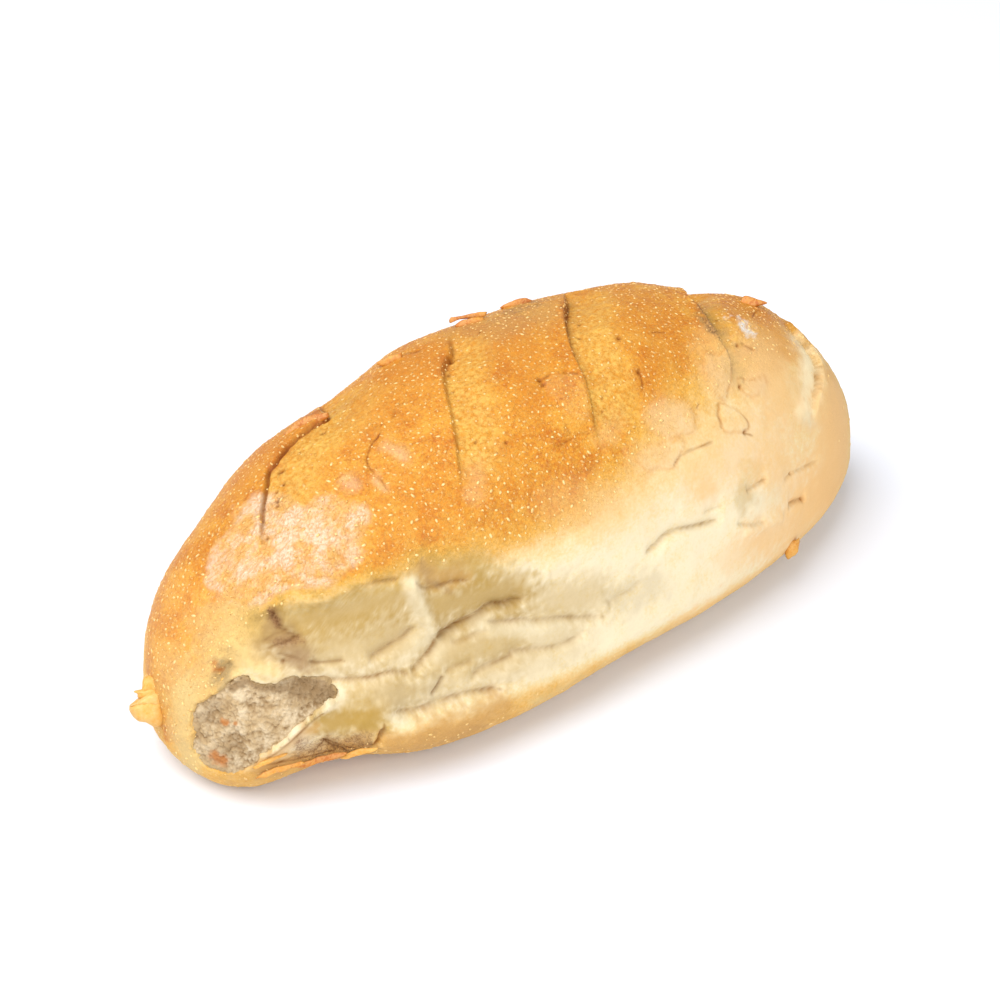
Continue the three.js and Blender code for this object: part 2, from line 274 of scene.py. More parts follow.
# %% The camera
AZIMUTH, ELEVATION = math.radians(-38.766), math.radians(34.525)
CAMERA_DISTANCE = 800.0
AIM = np.array([-4.95, 9.53, 40.0])
FRAME_PIXELS, FOCAL_PIXELS, SENSOR = 1000.0, 2291.0, 36.0
PIXEL_SIZE = CAMERA_DISTANCE / FOCAL_PIXELS  # millimetres on the loaf

camera_back = np.array([
    math.sin(AZIMUTH) * math.cos(ELEVATION),
    -math.cos(AZIMUTH) * math.cos(ELEVATION),
    math.sin(ELEVATION),
])
camera_right = np.array([math.cos(AZIMUTH), math.sin(AZIMUTH), 0.0])
camera_up = np.cross(camera_back, camera_right)
camera_place = AIM + CAMERA_DISTANCE * camera_back


def put_in_scene(name, data):
    """A new object of the scene that shows this data."""
    item = bpy.data.objects.new(name, data)
    bpy.context.scene.collection.objects.link(item)
    return item


camera = put_in_scene("camera", bpy.data.cameras.new("camera"))
camera.data.sensor_width = SENSOR
camera.data.lens = SENSOR * FOCAL_PIXELS / FRAME_PIXELS
camera.data.clip_start, camera.data.clip_end = 0.05, 20
camera.location = Vector((camera_place + BOX_SHIFT) / 1000)
camera.rotation_euler = Vector(-camera_back).to_track_quat("-Z", "Y").to_euler()
bpy.context.scene.camera = camera
print("lens", round(camera.data.lens, 1), "mm, one picture point is", round(PIXEL_SIZE, 2), "mm")

# %% From picture points to places on the crust
probe_corners, probe_quads = box_lattice((60, 30, 30))
probe_smooth = smooth_points(swollen(probe_corners))
probe_normals = smooth_normals(swollen(probe_corners))
probe_formed = probe_smooth + form_relief(probe_smooth, probe_normals)[:, None] * probe_normals
probe_tree = BVHTree.FromPolygons(probe_formed.tolist(), probe_quads)


def rays_to(pixels):
    """The directions in which the camera sees picture points."""
    offset = np.asarray(pixels, float) - FRAME_PIXELS / 2
    sideways, downwards = offset[:, :1] * camera_right, offset[:, 1:] * camera_up
    return unit(sideways - downwards - FOCAL_PIXELS * camera_back)


def meet_loaf(pixels):
    """Where rays through picture points meet the loaf, the smooth crust beneath, and its normals."""
    met, smooth, normals = [], [], []
    for pixel, ray in zip(pixels, rays_to(pixels)):
        hit, _, quad, _ = probe_tree.ray_cast(Vector(camera_place), Vector(ray))
        if hit is None:
            raise ValueError(f"picture point {pixel} misses the loaf")
        ring = probe_quads[quad]
        share = 1 / (np.linalg.norm(probe_formed[ring] - np.array(hit), axis=1) ** 2 + 1e-3)
        share = share / share.sum()
        met.append(np.array(hit))
        smooth.append(np.array(hit) - share @ (probe_formed[ring] - probe_smooth[ring]))
        normals.append(share @ probe_normals[ring])
    return np.array(met), np.array(smooth), unit(np.array(normals))


def on_crust(pixels):
    return meet_loaf(pixels)[1]


def smoothed(points, steps=4):
    """A curve through the points, as short straight steps."""
    points = np.asarray(points, float)
    padded = np.vstack([2 * points[0] - points[1], points, 2 * points[-1] - points[-2]])
    t = np.linspace(0, 1, steps, endpoint=False)[:, None]
    runs = []
    for a, b, c, d in zip(padded, padded[1:], padded[2:], padded[3:]):
        bend = c - a + t * (2 * a - 5 * b + 4 * c - d + t * (3 * (b - c) + d - a))
        runs.append(b + 0.5 * t * bend)
    return np.vstack([*runs, points[-1:]])


def crust_line(seen=(), behind=()):
    """A line over the crust: places (x, round) that the picture hides, then picture points."""
    hidden = smooth_points(directions_at(smoothed(behind))) if len(behind) > 1 else np.empty((0, 3))
    shown = on_crust(smoothed(seen)) if len(seen) > 1 else np.empty((0, 3))
    return np.vstack([hidden, shown])


# %% [markdown]
# ## Slashes
# Before baking, the baker draws a blade across the crown. The cut opens in the oven: the crust on one
# side lifts in a lip, the dough beneath is bared as a rough pale strip, and the far side climbs back
# to the crown. A boolean groove would be too clean, so each slash is a profile across its edge line,
# deepest near the crest and running out towards the flank.

# %% Slash edges
SLASHES = [  # depths and painted edge shades run along the edge, from the back to the flank
    dict(behind=[(-58, -38), (-63, -30)], width=22, depths=[2.8, 2.4, 1.1, 0.6, 0.45, 0.3],
         lip=0.6, edge_shades=[0, 1.0, 0.9, 1.0, 1.0, 0.5], floor_side=1, bared=1.0,
         seen=[(325, 416), (305, 429), (285, 446), (273, 463), (266, 471), (264, 486), (261, 505),
               (260, 530), (261, 558)]),
    dict(behind=[(-12, -22), (-16, -17)], width=17, depths=[0.8, 2.0, 2.0, 1.6, 1.2, 0.8],
         lip=0.5, edge_shades=[0, 0.5, 0.3, 0.05, 0.15, 0.05], floor_side=1, bared=1.0,
         seen=[(450, 353), (443, 364), (442, 375), (445, 392), (450, 413), (455, 441), (457, 462),
               (462, 494)]),
    dict(behind=[(42, -28), (35, -18)], width=20, depths=[2.4, 3.6, 2.8, 2.0, 1.4, 0.8],
         lip=0.6, edge_shades=[0, 1.0, 0.8, 0.3, 0.15, 0.1], floor_side=1, bared=1.0,
         seen=[(565, 304), (564, 316), (567, 333), (572, 350), (579, 365), (585, 380), (589, 395),
               (592, 412), (595, 430), (601, 452)]),
    dict(behind=[(95, -30), (84, -14)], width=15, depths=[4.4, 5.6, 5.0, 3.4, 1.6, 0.8],
         lip=1.4, edge_shades=[0, 0.9, 1.0, 0.7, 0.2, 0.1], floor_side=1, bared=0.5,
         seen=[(688, 299), (697, 308), (705, 319), (714, 333), (720, 343), (725, 352), (730, 365),
               (733, 384)]),
    dict(behind=[(124, 2), (119, 11)], width=16, depths=[0.8, 1.6, 2.4, 2.6, 1.9, 0.8],
         lip=0.4, edge_shades=[0, 0, 0.3, 0.6, 0.4, 0], floor_side=-1, bared=0.1,
         seen=[(800, 334), (809, 343), (817, 354), (822, 367), (822, 382), (818, 398), (816, 412),
               (812, 424)]),
]
SLASH_STEP, LIP_REACH, SLASH_REACH, SLASH_FADE = 1.4, 6.0, 30.0, 0.16
NOTCH_DEPTH, NOTCH_WIDTH, NOTCH_OFFSET = 0.9, 0.42, 0.8
for slash in SLASHES:
    slash["line"] = crust_line(slash["seen"], slash["behind"])


def slash_relief(points, normals):
    """Height that the slashes add, how far each point is slash floor, and its edge's painted shade."""
    relief = np.zeros(len(points))
    floor = np.zeros(len(points))
    dark = np.zeros(len(points))
    for slash in SLASHES:
        distance, share, side = to_line(points, normals, slash["line"], reach=SLASH_REACH)
        offset = slash["floor_side"] * side * distance
        width, fade = slash["width"], ends_fade(share, SLASH_FADE)
        drop = smoothstep(offset, -0.4, SLASH_STEP)
        climb = 1 - smoothstep(offset, 0.1 * width, width)
        lip = slash["lip"] * (1 - drop) * np.exp(-np.abs(offset) / LIP_REACH)
        shade = fade * read_along(share, slash["edge_shades"])
        in_notch = bell((offset - NOTCH_OFFSET) / NOTCH_WIDTH) * shade
        depth = read_along(share, slash["depths"])
        relief += fade * (lip - depth * drop * climb) - NOTCH_DEPTH * in_notch
        bared = drop * (1 - smoothstep(offset, 0.6 * width, 1.1 * width))
        floor = np.maximum(floor, slash["bared"] * fade * bared)
        dark = np.maximum(dark, in_notch)
    return relief, floor, dark


# %% [markdown]
# ## Creases, ridges and cracks
# The thin skin folded where the flank sank in. The skin above a crease turns slowly inwards, and the
# skin below it stands out in a small lip that catches the light. Both are exponentials of the distance
# to the line, a slow one above and a quick one below. A negative depth makes a ridge. Dry crust also
# cracks, in lines too fine to be deep, and has pores where a bubble burst.
# Creases, cracks and pores are also painted darker, as shade that the mesh is too coarse to cast.

# %% Creases noted from the picture: depth and reach in mm, how much painted shade, points
CREASES = [
    (2.0, 2.8, 0.7, [(311, 679), (327, 681), (350, 681), (372, 679), (392, 674), (411, 676),
                     (416, 672)]),
    (2.2, 2.4, 0.9, [(411, 676), (416, 672), (424, 662), (431, 654), (435, 648), (441, 640)]),
    (3.4, 3.6, 1.0, [(435, 648), (441, 640), (454, 632), (466, 624), (480, 618), (490, 609),
                     (497, 606), (509, 605), (520, 601), (528, 595)]),
    (1.8, 2.4, 0.6, [(480, 618), (490, 622), (504, 623), (525, 620), (535, 622), (559, 619),
                     (585, 619), (611, 616)]),
    (1.8, 2.4, 0.5, [(466, 687), (480, 673), (497, 665), (512, 658), (516, 653), (540, 650),
                     (559, 647), (570, 642), (578, 638), (587, 625)]),
    (2.0, 2.8, 0.5, [(368, 663), (389, 648), (404, 639), (411, 632), (417, 626)]),
    (2.4, 2.8, 0.7, [(388, 713), (411, 714), (432, 708), (447, 702), (466, 697), (482, 694),
                     (508, 689)]),
    (0.8, 1.8, 0.3, [(445, 675), (453, 668), (465, 665), (476, 662)]),
    (0.7, 1.8, 0.2, [(498, 686), (512, 683), (520, 681), (527, 675)]),
    (0.9, 1.4, 0.8, [(307, 661), (321, 663), (346, 661)]),
    (1.0, 2.0, 0.2, [(607, 607), (611, 604), (623, 596), (635, 590), (642, 580)]),
    (2.0, 2.6, 0.8, [(643, 556), (652, 551), (660, 545), (667, 537), (678, 531), (697, 527),
                     (712, 523), (725, 519)]),
    (0.8, 1.6, 0.2, [(705, 515), (714, 510), (724, 505)]),
    (1.0, 1.8, 0.3, [(736, 524), (752, 525), (765, 521)]),
    (1.2, 1.8, 0.4, [(746, 492), (757, 486), (764, 481), (768, 478)]),
    (0.9, 1.8, 0.3, [(783, 484), (792, 474), (804, 468), (819, 460)]),
    (1.4, 1.8, 0.7, [(787, 508), (795, 502), (805, 499)]),
    (1.6, 2.8, 0.6, [(413, 581), (425, 588), (436, 587), (445, 584), (458, 581), (472, 581)]),
    (1.2, 2.4, 0.7, [(370, 582), (385, 580), (400, 579)]),
    (1.0, 2.0, 0.3, [(450, 643), (462, 641), (476, 634), (490, 630)]),
    (1.4, 0.7, 1.0, [(444, 676), (441, 684), (437, 691), (433, 699)]),
    (1.6, 0.7, 1.0, [(384, 727), (381, 735), (378, 743), (371, 748), (362, 752)]),
    (1.2, 0.8, 0.8, [(322, 738), (327, 743), (334, 747), (343, 749), (350, 753), (361, 752)]),
    (1.0, 1.4, 0.5, [(274, 615), (276, 622), (281, 629), (290, 634), (299, 638)]),
    (-1.8, 3.0, 0, [(411, 579), (414, 592), (420, 606), (427, 618), (436, 630), (440, 638)]),
    (-1.0, 2.0, 0, [(741, 532), (755, 529), (770, 522), (784, 516)]),
    (-1.3, 2.0, 0, [(339, 697), (330, 702), (322, 708), (300, 725), (280, 744), (262, 758)]),
    (-1.2, 2.4, 0, [(220, 653), (228, 645), (238, 645), (247, 657), (256, 668), (275, 674),
                    (290, 669)]),
]
BACK_CREASES = [  # the same, by places x, round on the side the picture hides
    (1.4, 3.0, 0.3, [(-96, -70), (-80, -74), (-60, -73), (-44, -78)]),
    (1.1, 2.6, 0.2, [(-20, -66), (0, -70), (22, -69), (40, -74)]),
    (1.2, 2.8, 0.3, [(62, -76), (78, -71), (96, -72)]),
    (0.9, 2.4, 0.2, [(-70, -92), (-50, -90), (-26, -93)]),
]

# %% Cracks, by the same four things
CRACKS = [
    (0.9, 0.9, 1.0, [(262, 763), (279, 749), (294, 737), (311, 720), (328, 707)]),
    (0.7, 0.7, 1.0, [(271, 610), (274, 617), (277, 624)]),
    (0.4, 0.6, 0.8, [(276, 622), (284, 630), (292, 636), (302, 640)]),
    (0.4, 0.6, 0.8, [(264, 650), (276, 645), (288, 641), (300, 634)]),
    (0.3, 0.6, 0.6, [(270, 638), (282, 640), (296, 640)]),
    (0.3, 0.6, 0.5, [(262, 642), (274, 634), (284, 632)]),
    (0.4, 0.6, 0.6, [(276, 653), (290, 656), (304, 660)]),
    (0.6, 0.7, 0.9, [(300, 754), (314, 750), (325, 741), (336, 744), (348, 747), (360, 746)]),
    (0.4, 0.6, 0.8, [(276, 764), (290, 758), (304, 752)]),
    (0.5, 0.7, 0.9, [(374, 744), (381, 738), (384, 730), (384, 722)]),
    (0.5, 0.7, 0.8, [(262, 766), (288, 761), (316, 754), (342, 748)]),
    (0.6, 0.7, 1.0, [(382, 430), (377, 437), (371, 444), (367, 456), (367, 462), (371, 469), (377, 474)]),
    (0.3, 0.7, 0.5, [(377, 474), (381, 479), (384, 485), (387, 490)]),
    (0.5, 0.7, 0.9, [(381, 426), (382, 422)]),
    (0.5, 0.7, 0.9, [(391, 418), (395, 415), (394, 409)]),
    (0.3, 0.7, 0.7, [(394, 405), (402, 404), (411, 402)]),
    (0.4, 0.8, 0.9, [(403, 354), (412, 353), (422, 351)]),
    (0.6, 0.7, 1.0, [(537, 377), (541, 378), (547, 376), (551, 373)]),
    (0.5, 0.6, 0.9, [(562, 372), (570, 373), (579, 374)]),
    (0.4, 0.6, 0.7, [(565, 424), (568, 430), (573, 436)]),
    (0.3, 0.6, 0.5, [(573, 436), (581, 433), (591, 431)]),
    (0.4, 0.7, 0.8, [(573, 438), (566, 442), (560, 445), (553, 446)]),
    (0.6, 0.7, 0.8, [(717, 440), (703, 446), (689, 451), (679, 458), (672, 468)]),
    (0.5, 0.6, 0.8, [(718, 400), (719, 406), (718, 415), (721, 423), (722, 431)]),
    (0.4, 0.6, 0.8, [(744, 416), (749, 423), (748, 429), (744, 432), (755, 436)]),
    (0.4, 0.6, 0.7, [(753, 318), (755, 312), (759, 309)]),
    (0.5, 0.7, 0.8, [(639, 368), (642, 380), (643, 392)]),
    (0.5, 0.8, 0.9, [(822, 364), (822, 374), (822, 382), (820, 394)]),
    (0.5, 0.7, 0.8, [(249, 484), (248, 489), (246, 493)]),
    (0.5, 0.9, 0.8, [(650, 333), (658, 332), (667, 333)]),
    (0.7, 0.9, 1.0, [(741, 341), (748, 346), (755, 351)]),
    (0.4, 0.6, 0.6, [(741, 375), (744, 379), (744, 384)]),
    (0.4, 0.6, 0.6, [(696, 409), (698, 406), (700, 403)]),
    (0.3, 0.7, 0.6, [(494, 313), (505, 310), (518, 308), (532, 306), (544, 304)]),
    (0.3, 0.6, 0.4, [(486, 322), (494, 319), (501, 316)]),
    (0.4, 0.6, 0.9, [(155, 694), (156, 702), (159, 710), (162, 718)]),
]

# %% Pores
PORES = [  # picture point, radius and depth in mm
    (280, 470, 0.9, 1.4), (283, 483, 0.5, 0.9), (276, 491, 0.45, 0.8), (277, 500, 0.7, 1.0),
    (277, 505, 0.5, 0.8), (267, 539, 0.5, 0.8), (298, 450, 0.45, 0.8), (450, 357, 0.9, 1.6),
    (448, 371, 0.6, 0.8), (540, 379, 0.8, 1.2), (543, 384, 0.8, 1.0), (746, 432, 0.8, 1.2),
    (792, 474, 0.5, 0.8), (803, 500, 0.6, 0.8), (565, 308, 0.9, 1.2), (580, 332, 0.6, 0.8),
    (619, 338, 0.8, 0.9), (639, 372, 0.7, 0.9), (476, 441, 0.5, 0.7), (506, 443, 0.5, 0.7),
    (580, 318, 0.5, 0.7), (740, 387, 0.6, 0.8), (604, 410, 0.4, 0.6), (452, 389, 0.5, 0.5),
    (322, 430, 0.7, 0.9), (739, 344, 0.6, 0.8), (719, 316, 0.5, 0.6), (283, 661, 0.7, 0.7),
    (480, 332, 0.4, 0.4), (604, 396, 0.4, 0.5),
]

# %% Relief of lines and pores
LIP_SHARE, LINE_FADE, LINE_REACH = 0.45, 0.14, 9.0


def line_relief(points, normals, noted):
    """Height along (depth, reach, shade, line) rows, distance to the nearest, and that one's painted
    shade.
    """
    relief = np.zeros(len(points))
    nearest = np.full(len(points), LINE_REACH)
    darkness = np.zeros(len(points))
    for depth, reach, dark, line in noted:
        distance, share, side = to_line(points, normals, line, reach=6 * reach + 3)
        fade = ends_fade(share, LINE_FADE)
        slow = np.exp(-distance / (1.2 * reach))
        quick = (1 + LIP_SHARE) * np.exp(-distance / max(0.45 * reach, 0.7)) - LIP_SHARE * slow
        one_sided = np.where(side > 0, slow, quick)
        relief -= fade * depth * (one_sided if depth > 0 else np.exp(-((distance / reach) ** 2)))
        if dark:
            width = distance / np.maximum(fade, 0.05)
            darkness = np.where(width < nearest, dark, darkness)
            nearest = np.minimum(nearest, width)
    return relief, nearest, darkness


def on_lines(noted):
    """The same rows with their picture points sent to the crust."""
    return [(depth, reach, dark, crust_line(seen)) for depth, reach, dark, seen in noted]


def pore_relief(points):
    """Height of the burst bubbles, and how much painted shade each point gets in them."""
    relief, dark = np.zeros(len(points)), np.zeros(len(points))
    for across, down, radius, depth in PORES:
        place = on_crust([(across, down)])[0]
        hole = bell(np.linalg.norm(points - place, axis=1) / radius) ** 1.5
        relief -= depth * hole
        dark = np.maximum(dark, hole)
    return relief, dark


# %% [markdown]
# ## Outlines noted from the picture
# A patch of the crust, such as the torn hole or the film of wrinkled skin, is noted as a closed
# outline in the picture. Each point of the loaf knows where the camera would see it, so its distance
# to the outline, positive inside, can be worked out flat. Points on the far side never belong.

# %% Inside or outside an outline


def picture_points(points):
    """Where the camera sees points of the loaf."""
    offset = points - camera_place
    depth = -(offset @ camera_back)
    across = FRAME_PIXELS / 2 + FOCAL_PIXELS * (offset @ camera_right) / depth
    down = FRAME_PIXELS / 2 - FOCAL_PIXELS * (offset @ camera_up) / depth
    return np.stack([across, down], axis=1)


def gap_to(pixels, start, end):
    """Distance of picture points to the straight piece between two others."""
    along = end - start
    offset = pixels - start
    part = np.clip(offset @ along / max(along @ along, 1e-9), 0, 1)
    return np.linalg.norm(offset - part[:, None] * along, axis=1)


def inside_distance(pixels, outline):
    """Distance to a closed outline in picture points, positive inside."""
    outline = smoothed(np.vstack([outline, outline[:1]]), 3)[:-1]
    nearest = np.full(len(pixels), 1e9)
    inside = np.zeros(len(pixels), bool)
    for start, end in zip(outline, np.roll(outline, -1, axis=0)):
        nearest = np.minimum(nearest, gap_to(pixels, start, end))
        spans = (start[1] > pixels[:, 1]) != (end[1] > pixels[:, 1])
        along = end - start
        slope = along[0] / (along[1] if along[1] else 1e-9)
        inside ^= spans & (pixels[:, 0] < start[0] + (pixels[:, 1] - start[1]) * slope)
    return np.where(inside, nearest, -nearest)


TORN_OUTLINE = [
    (193, 736), (192, 713), (201, 703), (220, 691), (230, 681), (243, 676), (256, 684), (271, 684),
    (286, 678), (306, 678), (327, 681), (337, 695), (324, 706), (298, 726), (286, 738), (264, 754),
    (254, 764), (233, 774), (211, 769), (195, 753),
]
FILM_OUTLINE = [
    (249, 494), (233, 507), (230, 526), (220, 534), (206, 556), (204, 572), (206, 588), (214, 599),
    (239, 607), (262, 609), (282, 595), (309, 592), (333, 591), (345, 579), (362, 561), (368, 535),
    (373, 523), (370, 507), (352, 498), (330, 492), (305, 500), (285, 492), (268, 490),
]


# %% [markdown]
# ## Plates of skin
# Where the crown dried early, its skin let go of the dough and lies on it as thin plates: the large
# glossy film, and smaller scalloped ones towards the far end. A plate is an outline, a height, and how
# much it shines, as gloss and as a pink painted highlight. Its edge is broken up by unevenness, as no
# skin tears in a smooth curve.

# %% Plates: rise in mm, shine as gloss and painted highlight, outline
PLATES = [
    (0.35, 0.5, [(648, 404), (661, 401), (668, 399), (682, 398), (692, 410), (694, 419), (693, 431),
                 (682, 433), (668, 438), (658, 431), (647, 428), (641, 415)]),
    (0.3, 0.4, [(704, 352), (709, 354), (720, 356), (724, 348), (729, 361), (730, 378), (724, 399),
                (711, 389), (704, 371)]),
    (0.3, 0.4, [(661, 443), (682, 440), (681, 451), (672, 468), (660, 466), (648, 470), (636, 458),
                (648, 446)]),
    (0.3, 0.4, [(337, 481), (348, 474), (362, 482), (361, 490), (346, 489)]),
    (0.3, 0.4, [(382, 441), (392, 443), (402, 448), (411, 461), (404, 462), (393, 455),
                (385, 449)]),
    (0.3, 0.3, [(371, 474), (380, 480), (388, 492), (380, 489), (372, 482)]),
    (0.4, 0.3, [(543, 383), (550, 376), (560, 374), (580, 376), (586, 396), (588, 420), (575, 418),
                (560, 404)]),
    (0.35, 0.2, [(720, 404), (735, 410), (746, 420), (746, 430), (732, 432), (722, 426)]),
    (0.3, 0.3, [(738, 378), (748, 380), (764, 378), (764, 388), (752, 396), (742, 388)]),
]


# %% [markdown]
# ## Finer cells where the crust is carved
# One grid fine enough for a crease would be far too heavy for the whole loaf. We split cells in four
# where the camera looks, and again beside creases, slashes and the torn edge. Each split is done on
# the sphere, before any shape exists, so that the new corners land exactly on the formula.

# %% Tools that split cells


def cell_centres(directions, faces):
    sizes = np.array([len(face) for face in faces])
    starts = np.concatenate([[0], np.cumsum(sizes)[:-1]])
    rows = np.add.reduceat(directions[np.concatenate(faces)], starts, axis=0)
    return unit(rows), sizes


def split(directions, faces, wanted):
    """Splits the wanted cells in four; their neighbours are stitched with triangles."""
    sheet = bpy.data.meshes.new("sheet")
    sheet.from_pydata(directions.tolist(), [], faces)
    cage = bmesh.new()
    cage.from_mesh(sheet)
    cage.faces.ensure_lookup_table()
    edges = {edge for number in np.nonzero(wanted)[0] for edge in cage.faces[number].edges}
    bmesh.ops.subdivide_edges(cage, edges=list(edges), cuts=1, use_grid_fill=True)
    cage.verts.index_update()
    directions = unit(np.array([corner.co[:] for corner in cage.verts]))
    faces = [[corner.index for corner in face.verts] for face in cage.faces]
    cage.free()
    bpy.data.meshes.remove(sheet)
    return directions, faces


def formed(directions):
    """Smooth points, their normals and the points with the large forms."""
    points, normals = smooth_points(directions), smooth_normals(directions)
    return points, normals, points + form_relief(points, normals)[:, None] * normals


def towards_camera(points, normals):
    """How squarely each point faces the camera: 1 straight on, 0 at the outline."""
    return (unit(camera_place - points) * normals).sum(1)


# %% Split once where the camera looks, and again beside what is carved
JUST_BEHIND, JUST_UNDER = -0.15, -4.0  # past the outline, and below the floor in mm
centres, _ = cell_centres(directions, faces)
_, normals, shaped = formed(centres)
shown = (towards_camera(shaped, normals) > JUST_BEHIND) & (shaped[:, 2] > JUST_UNDER)
directions, faces = split(directions, faces, shown)
print("after one split", len(faces), "cells")

FINE_BAND, TORN_BAND, FILM_BAND = 2.2, 2.5, 2.0  # mm beside a line, the torn edge and the film
CRACK_WEIGHT = 1.5  # a crack's band is narrower by its weight
centres, sizes = cell_centres(directions, faces)
points, normals, shaped = formed(centres)
crease_rows, crack_rows = on_lines(CREASES), on_lines(CRACKS)
weighted = [(1.0, line) for *_, line in crease_rows] + [(CRACK_WEIGHT, line) for *_, line in crack_rows]
weighted += [(1.0, slash["line"]) for slash in SLASHES]
near_line = np.full(len(centres), LINE_REACH)
for weight, line in weighted:
    near_line = np.minimum(near_line, weight * to_line(points, normals, line, reach=LINE_REACH)[0])
for across, down, *_ in PORES:
    place = on_crust([(across, down)])[0]
    near_line = np.minimum(near_line, np.linalg.norm(points - place, axis=1) - 0.5)
centres_seen_at = picture_points(shaped)
torn_inside = PIXEL_SIZE * inside_distance(centres_seen_at, TORN_OUTLINE)
film_inside = PIXEL_SIZE * inside_distance(centres_seen_at, FILM_OUTLINE)
carved = (near_line < FINE_BAND) | (np.abs(torn_inside) < TORN_BAND) | (film_inside > -FILM_BAND)
wanted = carved & (towards_camera(shaped, normals) > 0) & (sizes == 4)
directions, faces = split(directions, faces, wanted)

# %% The crust's points, and how deep each lies in a patch
crust_points, crust_normals, crust_formed = formed(directions)
seen_at = picture_points(crust_formed)
faces_camera = towards_camera(crust_formed, crust_normals)
crust_x, crust_round = crust_points[:, 0], rounds_of(directions)
triangles = sum(len(face) - 2 for face in faces)
print("the crust has", len(directions), "corners and", triangles, "triangles")


def patch_distance(outline):
    """Millimetres inside an outline noted from the picture, negative outside and behind."""
    return np.where(faces_camera > 0, PIXEL_SIZE * inside_distance(seen_at, outline), -99)


RAGGED = 0.9
torn_inside = patch_distance(TORN_OUTLINE) + RAGGED * unevenness(crust_points, 2.6, 9, 2)
torn = smoothstep(torn_inside, -0.4, 0.4)
tattered = 1.6 * unevenness(crust_points, 5.0, 10, 3)
film = smoothstep(patch_distance(FILM_OUTLINE) + tattered, -0.5, 3.0)
plate_rise, plate_shine, plate_rim = (np.zeros(len(directions)) for _ in range(3))
for rise, shine, outline in PLATES:
    deep = patch_distance(outline) + 0.4 * tattered
    inside = smoothstep(deep, -0.35, 0.35)
    plate_rim = np.maximum(plate_rim, 1 - smoothstep(np.abs(deep + 0.3), 0.1, 0.7))
    plate_rise += rise * inside
    plate_shine += shine * inside
